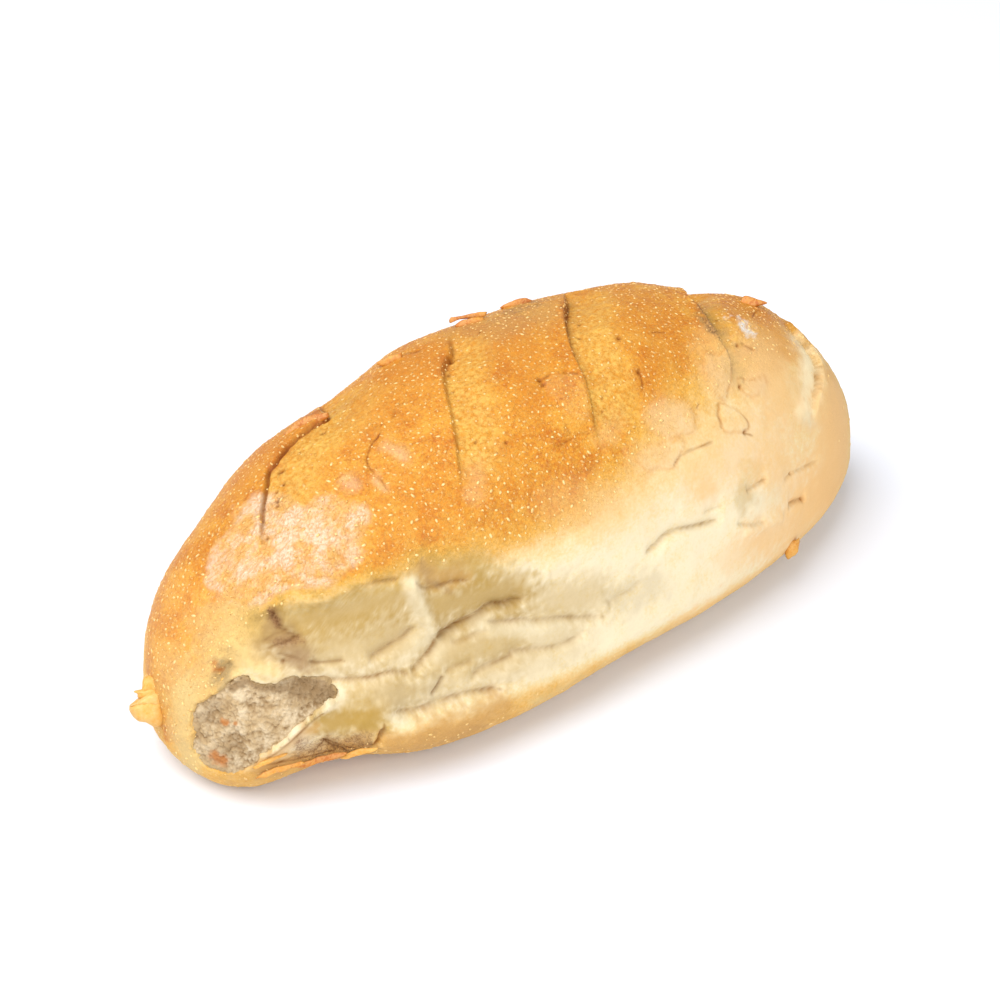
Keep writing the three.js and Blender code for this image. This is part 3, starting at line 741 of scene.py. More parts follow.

# %% [markdown]
# ## Noted washes
# Baking is uneven in ways that no formula knows: here the skin is thin and pink, there the top is
# scorched, and the pressed flank is khaki. So the colours are noted the way a watercolour is laid, as
# soft strokes of a few mixed paints over picture points. Some strokes paint light and shade as well:
# shade under the brow, in creases and slashes and along the foot, highlights on ridges, plates and
# the crest, and paler paint where the loaf lies in shade. Uneven edges come from shifting the points a
# little at random before they are compared with a stroke.

# %% Strokes: paint, radius in picture points, amount, picture points
PAINTS = dict(  # values past 255 are paler than any colour seen; the lightened ones paint in light where the loaf lies in shade
    straw=(238, 203, 134), cream_and_highlight=(248, 232, 194), shade_khaki=(190, 150, 64), tan=(214, 162, 92),
    peach=(256, 204, 134), pink_sheen=(252, 214, 172), umber=(158, 112, 74), rust=(196, 112, 40),
    white=(254, 244, 232), amber=(222, 140, 44), ash=(184, 158, 112), fawn=(168, 134, 94),
    lightened_milk=(280, 258, 208), lightened_apricot=(272, 222, 150),
)
WASHES = [
    ("amber", 24, 0.55, [(530, 362), (520, 345)]), ("amber", 18, 0.5, [(530, 402)]),
    ("amber", 20, 0.45, [(640, 322), (664, 345), (655, 378)]), ("amber", 14, 0.35, [(702, 338)]),
    ("amber", 14, 0.6, [(240, 480), (268, 450), (300, 424)]),
    ("amber", 12, 0.5, [(395, 368), (420, 372)]), ("amber", 10, 0.5, [(738, 306), (776, 312)]),
    ("rust", 5, 0.8, [(742, 352), (752, 350)]), ("amber", 16, 0.3, [(350, 425), (420, 395)]),
    ("amber", 24, 0.15, [(180, 560), (170, 620)]), ("peach", 26, 0.15, [(168, 600), (160, 660)]),
    ("amber", 16, 0.35, [(362, 392), (400, 372), (440, 350)]),
    ("amber", 22, 0.4, [(600, 300), (560, 310)]),
    ("amber", 20, 0.35, [(470, 330), (500, 340), (410, 365)]),
    ("amber", 26, 0.25, [(395, 480), (430, 520), (500, 470)]),
    ("amber", 16, 0.12, [(590, 480), (520, 540), (470, 545)]),
    ("amber", 18, 0.35, [(355, 408), (378, 422)]), ("amber", 20, 0.3, [(390, 545), (410, 510)]),
    # rust at the first three slashes' tops and the first one's edge: browner crust and painted shade of
    # the steps
    ("rust", 2.5, 0.9, [(300, 420), (312, 417), (324, 415)]),
    ("rust", 3, 0.5, [(284, 447), (273, 463), (265, 478)]),
    ("rust", 4, 0.6, [(445, 360), (441, 374)]), ("rust", 3, 0.7, [(564, 306), (564, 318)]),
    ("straw", 24, 0.7, [(246, 628), (222, 652), (205, 690)]),
    ("straw", 11, 0.9, [(190, 690), (182, 725), (192, 762)]),
    ("straw", 12, 0.7, [(250, 655), (270, 668)]), ("straw", 16, 0.35, [(175, 665), (168, 700)]),
    ("straw", 14, 0.4, [(205, 620), (240, 600)]),
    # khaki on the pressed flank, under the brow and above creases: partly its duller tone, partly painted
    # shade
    ("shade_khaki", 20, 0.75, [(270, 626), (300, 622), (345, 612), (392, 598)]),
    ("shade_khaki", 26, 0.6, [(300, 650), (350, 645), (400, 635)]),
    ("shade_khaki", 18, 0.6, [(360, 700), (400, 692)]),
    ("shade_khaki", 22, 0.8, [(442, 604), (470, 598), (510, 592)]),
    ("shade_khaki", 22, 0.6, [(450, 655), (500, 640)]),
    ("shade_khaki", 24, 0.3, [(440, 685), (500, 672), (560, 640)]),
    ("shade_khaki", 20, 0.45, [(550, 604), (590, 596)]),
    ("shade_khaki", 16, 0.7, [(425, 566), (450, 570), (475, 568)]),
    ("shade_khaki", 14, 0.9, [(322, 722), (350, 720), (376, 718)]),
    ("shade_khaki", 8, 0.25, [(752, 466), (748, 498)]), ("shade_khaki", 6, 0.3, [(744, 492), (742, 508)]),
    # khaki in the fourth slash's floor: painted shade under its lip
    ("shade_khaki", 8, 0.7, [(708, 312), (722, 332)]), ("shade_khaki", 8, 0.5, [(733, 352), (736, 376)]),
    ("ash", 16, 0.4, [(400, 697), (430, 690)]), ("ash", 14, 0.3, [(620, 600), (650, 585)]),
    # tan along the foot: partly the browner base, partly painted shade where it turns under
    ("tan", 12, 0.7, [(500, 706), (470, 722), (430, 730)]),
    ("tan", 9, 0.8, [(390, 744), (430, 742), (480, 730)]),
    ("straw", 8, 0.85, [(540, 706), (600, 678), (640, 656), (690, 630)]),
    ("peach", 8, 0.6, [(680, 628), (740, 592), (800, 552)]),
    # a thin tan line on the foot's edge: painted shade where it meets the floor
    ("tan", 3, 0.7, [(650, 650), (700, 622), (760, 584), (810, 545)]),
    ("tan", 12, 0.5, [(235, 772), (270, 768)]),
    ("tan", 6, 0.6, [(266, 762), (292, 742), (312, 726)]),
    ("umber", 9, 0.6, [(304, 750), (330, 747), (366, 745)]),
    ("tan", 7, 0.8, [(262, 768), (300, 764), (350, 758)]),
    ("fawn", 10, 0.6, [(272, 624), (284, 636), (300, 652)]),
    ("fawn", 9, 0.45, [(262, 646), (300, 664)]), ("umber", 3.5, 0.8, [(272, 611), (276, 622)]),
    ("umber", 4, 0.45, [(278, 644), (290, 640), (300, 637)]),
    ("ash", 7, 0.8, [(224, 664), (221, 682)]),
    ("rust", 1.8, 0.8, [(220, 660), (216, 666), (216, 673)]),
    ("tan", 9, 0.5, [(424, 570), (436, 578), (462, 574)]),
    ("fawn", 3, 0.4, [(418, 560), (432, 582), (448, 590)]),
    ("fawn", 7, 0.5, [(292, 656), (310, 664)]), ("fawn", 3, 0.5, [(809, 341), (817, 349)]),
    ("umber", 2, 0.3, [(500, 314), (540, 305)]),
    # umber and khaki down the fourth slash's lip: painted shadow of its overhang
    ("umber", 5, 0.8, [(700, 308), (708, 318), (717, 334)]),
    ("shade_khaki", 6, 0.7, [(722, 340), (728, 352), (732, 366)]),
    ("straw", 7, 0.6, [(734, 356), (740, 376)]),
    # cream along the ridge and the creases' lower lips: painted highlight where they face the light
    ("cream_and_highlight", 6, 0.6, [(411, 582), (414, 598), (424, 620), (433, 636)]),
    ("cream_and_highlight", 11, 0.45, [(420, 640), (434, 648)]),
    ("cream_and_highlight", 6, 0.5, [(480, 626), (510, 629), (560, 624)]),
    ("cream_and_highlight", 5, 0.4, [(390, 716), (402, 721)]), ("cream_and_highlight", 5, 0.5, [(328, 702), (340, 696)]),
    # the fifth slash's pale floor, painted lighter still as light that it lacks here
    ("lightened_milk", 7, 0.9, [(797, 338), (806, 352), (809, 372), (808, 392), (802, 408)]),
    ("lightened_milk", 6, 0.9, [(812, 356), (816, 372), (814, 392), (809, 412)]),
    ("amber", 7, 0.3, [(830, 372), (838, 410)]),
    # apricot at the far end: orange crust, painted lighter as light that it lacks here
    ("lightened_apricot", 20, 0.6, [(838, 400), (842, 450), (822, 500)]),
    ("peach", 22, 0.6, [(780, 470), (810, 500), (770, 540)]),
    ("cream_and_highlight", 6, 0.7, [(806, 420), (812, 424)]), ("cream_and_highlight", 7, 0.3, [(764, 504), (776, 494)]),
    ("peach", 28, 0.5, [(700, 470), (760, 440)]), ("peach", 22, 0.7, [(766, 350), (778, 400)]),
    ("amber", 12, 0.4, [(770, 330), (786, 350)]),
    ("peach", 14, 0.7, [(836, 400), (840, 450), (826, 490)]),
    ("peach", 18, 0.6, [(830, 430), (826, 480), (800, 530)]),
    ("peach", 22, 0.5, [(720, 350), (756, 366)]), ("peach", 20, 0.35, [(600, 520), (640, 500)]),
    ("peach", 8, 0.5, [(700, 490), (706, 484)]), ("peach", 12, 0.4, [(730, 560), (760, 540)]),
    # pink on plates of thin skin: partly their paler colour, partly painted highlight
    ("pink_sheen", 14, 0.34, [(662, 416), (680, 420)]), ("pink_sheen", 12, 0.25, [(712, 372), (722, 384)]),
    ("pink_sheen", 14, 0.23, [(640, 462), (660, 455)]), ("pink_sheen", 9, 0.21, [(478, 468), (475, 492)]),
    ("pink_sheen", 9, 0.25, [(350, 482)]), ("pink_sheen", 6, 0.25, [(388, 446), (404, 456)]),
    ("pink_sheen", 5, 0.25, [(376, 478), (384, 488)]),
    # ash along the crest: a greyer painted sheen
    ("ash", 14, 0.3, [(455, 322), (500, 324), (545, 310)]),
    ("pink_sheen", 10, 0.21, [(606, 436), (616, 420)]), ("pink_sheen", 20, 0.15, [(560, 505), (600, 500)]),
    ("pink_sheen", 9, 0.17, [(752, 386), (760, 384)]), ("pink_sheen", 12, 0.17, [(785, 430)]),
    # white on the fourth slash's lip: a painted highlight
    ("white", 2.6, 1.0, [(739, 322), (744, 326), (749, 331), (754, 334)]),
    ("white", 1.4, 0.8, [(724, 314), (728, 316)]),
]

# %% Lay the washes
STROKE_SHIFT, STROKE_FRAY = 5.0, 0.5
LIGHT_LEVEL = 1.35


def stroke_distance(pixels, line, radius):
    """How far each point lies from a stroke through picture points, in radii of the stroke."""
    line = np.array(line, float)
    nearest = np.full(len(pixels), 1e9)
    for start, end in zip(line, [*line[1:], line[-1]]):
        nearest = np.minimum(nearest, gap_to(pixels, start, end))
    return nearest / radius


def paint(red, green, blue):
    """The paint that looks like this picture colour of 0 to 255 in the scene's light."""
    channels = [value / 255 for value in (red, green, blue)]
    linear = [c / 12.92 if c <= 0.04045 else ((c + 0.055) / 1.055) ** 2.4 for c in channels]
    return (*[c / LIGHT_LEVEL for c in linear], 1.0)


stroke_at = seen_at + STROKE_SHIFT * shifts(crust_points, 4.0, 41, axes=2, octaves=3)
seen_share = smoothstep(faces_camera, 0.0, 0.25)
fray = STROKE_FRAY * unevenness(crust_points, 2.2, 43, 4)
wash = np.zeros((len(directions), 3))
covered, umber = np.zeros(len(directions)), np.zeros(len(directions))
for name, radius, amount, line in WASHES:
    outwards = stroke_distance(stroke_at, line, radius) + fray
    cover = amount * seen_share * (1 - smoothstep(outwards, 0.2, 2.0))
    wash += cover[:, None] * (np.array(paint(*PAINTS[name])[:3]) - wash)
    covered += cover * (1 - covered)
    umber = np.maximum(umber, cover) if name == "umber" else umber

# %% Wrinkled skin, soft steps and eased lines
WRINKLE_SIZE, WRINKLE_STRETCH, WRINKLE_BEND = 1.5, 0.55, 0.9
STEP_FADE = 0.25


def wrinkle_folds(points):
    """1 on the folds of wrinkled skin, 0 between, in cells drawn out along the loaf."""
    bent = points * np.array([WRINKLE_STRETCH, 1, 1]) + WRINKLE_BEND * shifts(points, 3.5, 51)
    distances = [noise.voronoi(Vector(p))[0] for p in bent / WRINKLE_SIZE]
    return 1 - smoothstep(np.array([d[1] - d[0] for d in distances]), 0.02, 0.17)


def step_relief(points, normals, seen, depth, lip, width):
    """A drop on the left of a line, from a small lip, that climbs back over its width."""
    distance, share, side = to_line(points, normals, crust_line(seen), reach=2 * width)
    offset = side * distance
    drop = smoothstep(offset, -0.5, 1.2)
    climb = 1 - smoothstep(offset, 0, width)
    rise = lip * (1 - drop) * np.exp(-np.abs(offset) / (0.4 * width))
    return ends_fade(share, STEP_FADE) * (rise - depth * drop * climb)


def eased(values):
    """Each value drawn halfway to the mean of its neighbours, so a step loses its teeth."""
    ring = [(a, b) for face in faces for a, b in zip(face, face[1:] + face[:1])]
    here, there = np.array(ring).T
    size = len(values)
    total = np.bincount(here, values[there], size) + np.bincount(there, values[here], size)
    count = np.bincount(here, minlength=size) + np.bincount(there, minlength=size)
    return 0.5 * values + 0.5 * total / np.maximum(count, 1)


# %% Heights of slashes, creases, cracks, pores and folds
slash_height, slash_floor, slash_shade = slash_relief(crust_points, crust_normals)
crease_rows += [(*row[:3], smooth_points(directions_at(smoothed(row[3])))) for row in BACK_CREASES]
creases = line_relief(crust_points, crust_normals, crease_rows)
cracks = line_relief(crust_points, crust_normals, crack_rows)
crease_height, crease_distance, crease_darkness = creases
crack_height, crack_distance, crack_darkness = cracks
pore_height, pore_shade = pore_relief(crust_points)
folds = np.zeros(len(directions))
wrinkled = np.nonzero(film > 0.02)[0]
folds[wrinkled] = wrinkle_folds(crust_points[wrinkled])

# %% Put the relief together
TORN_DEPTH, LINE_GAIN, CRACK_SHARE = 3.4, 1.45, 0.6
BROW = [
    (404, 576), (385, 577), (365, 585), (345, 594), (328, 602), (306, 606), (283, 608), (262, 614),
    (240, 624),
]
POCKET = [(232, 655), (226, 660), (218, 668), (215, 676), (217, 687)]
BROW_STEP, POCKET_STEP = (2.2, 1.0, 14), (2.2, 0.8, 8)  # depth, lip and width in mm
LOAF_ROUGH = [(0.55, 38, 1, 2), (0.16, 6, 2, 3)]  # rise and size in mm, seed, octaves
DRAWN_OUT = np.array([0.5, 1, 1])  # the pressed skin's ripples are twice as long as wide

relief = slash_height + form_relief(crust_points, crust_normals)
relief += step_relief(crust_points, crust_normals, BROW, *BROW_STEP)
relief += step_relief(crust_points, crust_normals, POCKET, *POCKET_STEP)
relief += LINE_GAIN * eased(crease_height + CRACK_SHARE * crack_height) * (1 - torn)
relief -= TORN_DEPTH * torn
relief += pore_height + plate_rise
crown = smoothstep(-np.abs(crust_round), -70, -45)
relief += sum(rise * unevenness(crust_points, *kind) for rise, *kind in LOAF_ROUGH)
relief += crown * 0.2 * unevenness(crust_points, 3.2, 3, 3)
pressed = smoothstep(crust_round, 48, 66) * smoothstep(-crust_x, -40, 20)
relief += pressed * 0.7 * np.abs(unevenness(crust_points * DRAWN_OUT, 11, 4, 3))
relief += 0.4 * slash_floor * unevenness(crust_points, 2.6, 5, 3)
relief += film * (0.35 - 0.32 * folds + 0.15 * unevenness(crust_points, 4, 6, 2))
relief += 0.9 * umber * unevenness(crust_points, 2.0, 8, 3)
loaf_points = crust_points + relief[:, None] * crust_normals
loaf_points[:, 2] = np.maximum(loaf_points[:, 2], 0)
print("relief from", round(relief.min(), 1), "to", round(relief.max(), 1), "mm")

# %% Browning: where along the loaf, and the degrees from the crest where each band ends
BROWN_X = [-150, -138, -122, -105, -90, -76, -61, -44, -20, 0, 34, 65, 90, 120, 150]
BROWN_ROUND = [100, 40, 34, 42, 46, 48, 52, 56, 58, 55, 47, 42, 38, 36, 34]
SOFT_X = [-150, -136, -120, -90, -40, 0, 40, 150]
SOFT_ROUND = [40, 26, 8, 6, 8, 14, 22, 28]
BACK_EDGE, BACK_SOFT = 62, 20  # the side that the picture hides, in degrees from the crest
CROWN_BAKE, BASE_BAND = 0.84, 14
edge = np.where(crust_round > 0, np.interp(crust_x, BROWN_X, BROWN_ROUND), BACK_EDGE)
soft = np.where(crust_round > 0, np.interp(crust_x, SOFT_X, SOFT_ROUND), BACK_SOFT)
bake = 1 - smoothstep(np.abs(crust_round), edge - soft, edge + soft)
end_glow = 0.5 * smoothstep(-crust_x, 126, 147)
far_glow = np.interp(crust_x, [0, 60, 100, 150], [0, 0.1, 0.34, 0.46])
far_glow = far_glow * (1 - 0.75 * smoothstep(crust_round, 58, 76) * (1 - smoothstep(crust_x, 80, 125)))
bake = np.maximum(CROWN_BAKE * bake, np.maximum(end_glow, far_glow))
BASE_X = [-150, -110, -70, -30, 0, 60, 110, 150]
BASE_ROUND = [88, 79, 84, 90, 95, 95, 88, 80]
base_start = np.interp(crust_x, BASE_X, BASE_ROUND)
base_gold = smoothstep(np.abs(crust_round), base_start, base_start + BASE_BAND)
base_bake = np.interp(crust_x, [-150, -60, 0, 60, 150], [0.6, 0.55, 0.45, 0.4, 0.45])
sole = 1 - smoothstep(crust_points[:, 2], 0, 3)
base_bake = np.where(crust_round < 0, 0.6, base_bake) + 0.2 * sole
bake = np.maximum(bake, base_bake * base_gold)

# %% [markdown]
# ## Meshes with painted values
# Each mask travels with the mesh as a named value at every corner. The materials read them by name,
# so that the colours sit where the shapes are, from any side.

# %% Make the crust's mesh


def add_mesh(name, points, faces):
    """A mesh object at the origin, from millimetres round the loaf's axis."""
    mesh = bpy.data.meshes.new(name)
    mesh.from_pydata(((points + BOX_SHIFT) / 1000).tolist(), [], faces)
    mesh.polygons.foreach_set("use_smooth", np.ones(len(mesh.polygons), bool))
    mesh.update()
    return put_in_scene(name, mesh)


def keep_values(piece, **masks):
    for name, values in masks.items():
        layer = piece.data.attributes.new(name, "FLOAT", "POINT")
        layer.data.foreach_set("value", np.asarray(values, np.float32))


# Creases, cracks, slash steps and pores get painted shade, darkest in their middles.
CREASE_WIDTH, CRACK_WIDTH, LINE_SHADE = 0.75, 0.6, 1.5
broken = 0.75 + 0.5 * unevenness(crust_points, 5.0, 12, 2)


def painted_line_shade(distance, darkness, width):
    """How much painted shade each point gets for its nearest line, in a broken stroke of this width."""
    return LINE_SHADE * eased(broken * darkness * (1 - smoothstep(distance, -0.1, width)))


crease_shade = painted_line_shade(crease_distance, crease_darkness, CREASE_WIDTH)
crack_shade = painted_line_shade(crack_distance, crack_darkness, CRACK_WIDTH)
dark_lines = np.minimum(1, np.maximum.reduce([crease_shade, crack_shade, slash_shade, pore_shade]))
loaf = add_mesh("crusty_loaf", loaf_points, faces)
keep_values(loaf, bake=bake, slash=slash_floor, film=film, folds=folds, shine=plate_shine,
            covered=covered, umber=umber, rims=plate_rim, lines=dark_lines)
layer = loaf.data.attributes.new("wash", "FLOAT_COLOR", "POINT")
layer.data.foreach_set("color", np.column_stack([wash, np.ones(len(wash))]).astype(np.float32).ravel())

# %% [markdown]
# ## Blisters
# Fermented dough blisters in the oven: pinhead bubbles all over the crown, each with its own small
# highlight. There are thousands, so Geometry Nodes scatter them. Points are spread over the crust no
# closer than the spacing, more of them where it is browner, and each gets a flattened ball that sinks
# half in. A bump texture would do for colour, but it would leave the real outline bald.

# %% Geometry node helpers


def add_node(tree, kind, inputs=None, **settings):
    """A node with its settings; each input is a plain value or another node's output."""
    node = tree.nodes.new(kind)
    for name, value in settings.items():
        setattr(node, name, value)
    for name, value in (inputs or {}).items():
        if isinstance(value, bpy.types.NodeSocket):
            tree.links.new(value, node.inputs[name])
        else:
            node.inputs[name].default_value = value
    return node


def tree_of(name, inputs):
    """A geometry node tree with a mesh in, a mesh out, and the named inputs (name: kind, value)."""
    tree = bpy.data.node_groups.new(name, "GeometryNodeTree")
    tree.interface.new_socket("Mesh", in_out="INPUT", socket_type="NodeSocketGeometry")
    tree.interface.new_socket("Mesh", in_out="OUTPUT", socket_type="NodeSocketGeometry")
    for socket, (kind, _) in inputs.items():
        tree.interface.new_socket(socket, in_out="INPUT", socket_type=kind)
    return tree, tree.nodes.new("NodeGroupInput").outputs, tree.nodes.new("NodeGroupOutput").inputs


def grown(name, carrier, tree, inputs):
    """A new piece with what the tree makes of the carrier's mesh."""
    holder = put_in_scene("holder", carrier.data)
    modifier = holder.modifiers.new("grow", "NODES")
    modifier.node_group = tree
    for socket in tree.interface.items_tree:
        if socket.in_out == "INPUT" and socket.name in inputs:
            modifier[socket.identifier] = inputs[socket.name][1]
    holder.update_tag()
    evaluated = holder.evaluated_get(bpy.context.evaluated_depsgraph_get())
    mesh = bpy.data.meshes.new_from_object(evaluated)
    holder.modifiers.remove(modifier)
    bpy.data.objects.remove(holder)
    mesh.name = name
    return put_in_scene(name, mesh)


# %% Blisters by Geometry Nodes, in metres
blister_finish = bpy.data.materials.new("blister heads")
BLISTER_INPUTS = {
    "Spacing": ("NodeSocketFloat", 0.0017), "Density": ("NodeSocketFloat", 260000.0),
    "Radius": ("NodeSocketFloat", 0.0004), "Flatness": ("NodeSocketFloat", 0.4),
    "Seed": ("NodeSocketInt", 7), "Finish": ("NodeSocketMaterial", blister_finish),
}
SIZE_RANGE, STRETCH_RANGE = {2: 0.5, 3: 1.35}, {2: 0.8, 3: 2.2}  # by the sockets Min and Max
tree, given, out = tree_of("blisters", BLISTER_INPUTS)


def geo(kind, inputs=None, **settings):
    return add_node(tree, kind, inputs, **settings)


def product(first, second):
    return geo("ShaderNodeMath", {0: first, 1: second}, operation="MULTIPLY").outputs[0]


def drawn(limits, seed, kind="FLOAT", output=1):
    """A random value for each point, between limits given by their sockets."""
    return geo("FunctionNodeRandomValue", {**limits, "Seed": seed}, data_type=kind).outputs[output]


def share_from(name, low, high, to_low, to_high):
    """A painted value of the crust, remapped to a share of the blisters."""
    value = geo("GeometryNodeInputNamedAttribute", {"Name": name}).outputs["Attribute"]
    inputs = {"Value": value, "From Min": low, "From Max": high, "To Min": to_low, "To Max": to_high}
    return geo("ShaderNodeMapRange", inputs).outputs[0]


browned, unslashed = share_from("bake", 0.35, 0.8, 0, 1), share_from("slash", 0, 1, 1, 0.35)
share = product(product(browned, unslashed), share_from("film", 0, 1, 1, 0.4))
spread = geo("GeometryNodeDistributePointsOnFaces", {
    "Mesh": given["Mesh"], "Distance Min": given["Spacing"], "Density Max": given["Density"],
    "Density Factor": share, "Seed": given["Seed"]}, distribute_method="POISSON")
ball = geo("GeometryNodeMeshIcoSphere", {"Radius": given["Radius"], "Subdivisions": 1})
smooth = geo("GeometryNodeSetShadeSmooth", {0: ball.outputs["Mesh"]})
size = drawn(SIZE_RANGE, given["Seed"])
length = product(size, drawn(STRETCH_RANGE, 11))
height = product(size, given["Flatness"])
scale = geo("ShaderNodeCombineXYZ", {"X": length, "Y": size, "Z": height})
placed = geo("GeometryNodeInstanceOnPoints", {
    "Points": spread.outputs["Points"], "Instance": smooth.outputs[0],
    "Rotation": spread.outputs["Rotation"], "Scale": scale.outputs[0]})
turn = drawn({1: (0, 0, 6.28)}, 12, "FLOAT_VECTOR", 0)
turned = geo("GeometryNodeRotateInstances", {"Instances": placed.outputs[0], "Rotation": turn})
real = geo("GeometryNodeRealizeInstances", {0: turned.outputs[0]})
finished = geo("GeometryNodeSetMaterial", {"Geometry": real.outputs[0], "Material": given["Finish"]})
tree.links.new(finished.outputs[0], out["Mesh"])
blister_piece = grown("blisters", loaf, tree, BLISTER_INPUTS)
print("blisters:", len(blister_piece.data.polygons), "faces")

# %% [markdown]
# ## The crumb
# Under the torn crust lies the crumb: soft walls round bubbles of every size. It gets a piece of its
# own, because it needs cells four times finer than the crust does. A sheet of picture points over the
# torn outline is cast on the loaf, roughened by lumps and by Voronoi pits for the burst bubbles, and
# closed by a second sheet inside the loaf.

# %% Tools for a closed patch


def lattice_inside(outline, step, margin):
    """Picture points on a square lattice inside an outline, how deep inside, and their quads."""
    outline = np.array(outline, float)
    low, high = outline.min(0) - margin, outline.max(0) + margin
    across, down = np.arange(low[0], high[0], step), np.arange(low[1], high[1], step)
    pixels = np.stack(np.meshgrid(across, down, indexing="ij"), axis=-1).reshape(-1, 2)
    inside = inside_distance(pixels, outline)
    number = np.arange(len(pixels)).reshape(len(across), len(down))
    ring = [number[:-1, :-1], number[:-1, 1:], number[1:, 1:], number[1:, :-1]]
    quads = np.stack([corner.ravel() for corner in ring], axis=1)
    quads = quads[(inside[quads] > -margin).all(1)]
    used, quads = np.unique(quads, return_inverse=True)
    return pixels[used], inside[used], quads.reshape(-1, 4)


def closed_behind(points, quads, inward):
    """Adds a wall along the sheet's border, pushed inward, and a fan that closes it."""
    sides = np.concatenate([np.roll(quads, -turn, axis=1)[:, :2] for turn in range(4)])
    known = {(a, b) for a, b in sides.tolist()}
    border = [(a, b) for a, b in sides.tolist() if (b, a) not in known]
    copy_of = {a: len(points) + i for i, a in enumerate(a for a, b in border)}
    behind = points[list(copy_of)] + inward
    middle = len(points) + len(behind)
    walls = [(b, a, copy_of[a], copy_of[b]) for a, b in border]
    fan = [(copy_of[b], copy_of[a], middle) for a, b in border]
    return np.vstack([points, behind, behind.mean(0, keepdims=True)]), quads.tolist() + walls + fan


def cell_distance(points, size, seed):
    """Distance of each point to its nearest seed point, in cells of about this size."""
    shift = Vector((seed * 3.7, seed * 9.1, seed * 6.3))
    return np.array([noise.voronoi(Vector(p) + shift)[0][0] for p in points / size])


def clumps(points, size, seed):
    """Round tops with sharp valleys between them, for clumps of about this size."""
    wobbled = points + 0.3 * size * shifts(points, size, seed)
    return np.clip(1 - (cell_distance(wobbled, size, seed) / 0.75) ** 2, 0, 1)


def pits(points, size, seed):
    """1 at the middle of a bubble and 0 at its wall, for bubbles of about this size."""
    return 1 - smoothstep(cell_distance(points, size, seed), 0.1, 0.5)


# %% Heights, stains and painted shade of the crumb
CRUMB_STEP, CRUMB_MARGIN = 0.62, 3.5  # picture points
STAINS_AND_SHADE = [  # radius in picture points, amount, picture points
    (14, 0.8, [(300, 686), (318, 690), (330, 694)]), (9, 0.5, [(214, 706), (205, 716)]),
    # along the top edge: painted shade under the torn crust
    (4, 0.8, [(232, 688), (246, 682), (262, 688), (284, 690), (306, 686)]),
    (9, 0.35, [(232, 742), (222, 752)]),
]
SPOTS = [  # bits of crust
    (2.5, 0.9, [(222, 722), (226, 724)]), (4.5, 0.9, [(214, 757), (222, 762)]),
    (1.8, 0.8, [(235, 724)]),
]
pixels, inside, crumb_quads = lattice_inside(TORN_OUTLINE, CRUMB_STEP, CRUMB_MARGIN)
met, _, normals = meet_loaf(pixels)
lumps = 0.7 * unevenness(met, 9.0, 21) + 0.5 * clumps(met, 3.4, 27) + 0.4 * clumps(met, 1.7, 28) - 0.55
grain = 0.3 * clumps(met, 0.9, 29) + 0.2 * unevenness(met, 0.8, 23, 2)
where_open = smoothstep(unevenness(met, 6.0, 25), 0.1, 0.5)
bubbles = (0.6 * pits(met, 3.2, 24) * where_open, 0.2 * pits(met, 1.4, 26))
crumb_height = lumps + grain - bubbles[0] - bubbles[1]
crumb_fray = 0.5 * unevenness(met, 2.0, 44, 3)


def stroke_cover(strokes):
    """The strongest of these strokes at each point of the crumb."""
    covers = []
    for radius, amount, line in strokes:
        outwards = stroke_distance(pixels, line, radius) + crumb_fray
        covers.append(amount * (1 - smoothstep(outwards, 0.3, 1.9)))
    return np.maximum.reduce(covers)


# %% A closed patch of crumb
CRUMB_SUNK, CRUMB_THICK, CRUMB_EDGE = 0.45, 8.0, 2.4
stain_and_shade, spot = stroke_cover(STAINS_AND_SHADE), stroke_cover(SPOTS)
inside = inside * PIXEL_SIZE
rising = smoothstep(inside, -1.8, -0.1)
lift = rising * (crumb_height - CRUMB_SUNK) - (1 - rising) * CRUMB_EDGE
crumb_points = met + lift[:, None] * normals
inward = -CRUMB_THICK * unit(normals.mean(0))
crumb_points, crumb_faces = closed_behind(crumb_points, crumb_quads, inward)
crumb = add_mesh("crumb", crumb_points, crumb_faces)
hidden = len(crumb_points) - len(met)
seen_values = dict(height=crumb_height, inside=inside, stain_and_shade=stain_and_shade, spot=spot)
keep_values(crumb, **{name: np.pad(values, (0, hidden)) for name, values in seen_values.items()})
print("the crumb has", len(crumb_points), "corners")

# %% [markdown]
# ## Nubs and lifted scraps
# A nub tore off a neighbour at the near end, a crumb of crust sticks to the flank's foot, dry scraps
# stand up along the crest, and strands of torn crust hang at the near foot. Each is noted by its
# outline in the picture and a point where it grows out of the loaf, and becomes a lens: thick in the
# middle, closed at its rim, and rough.

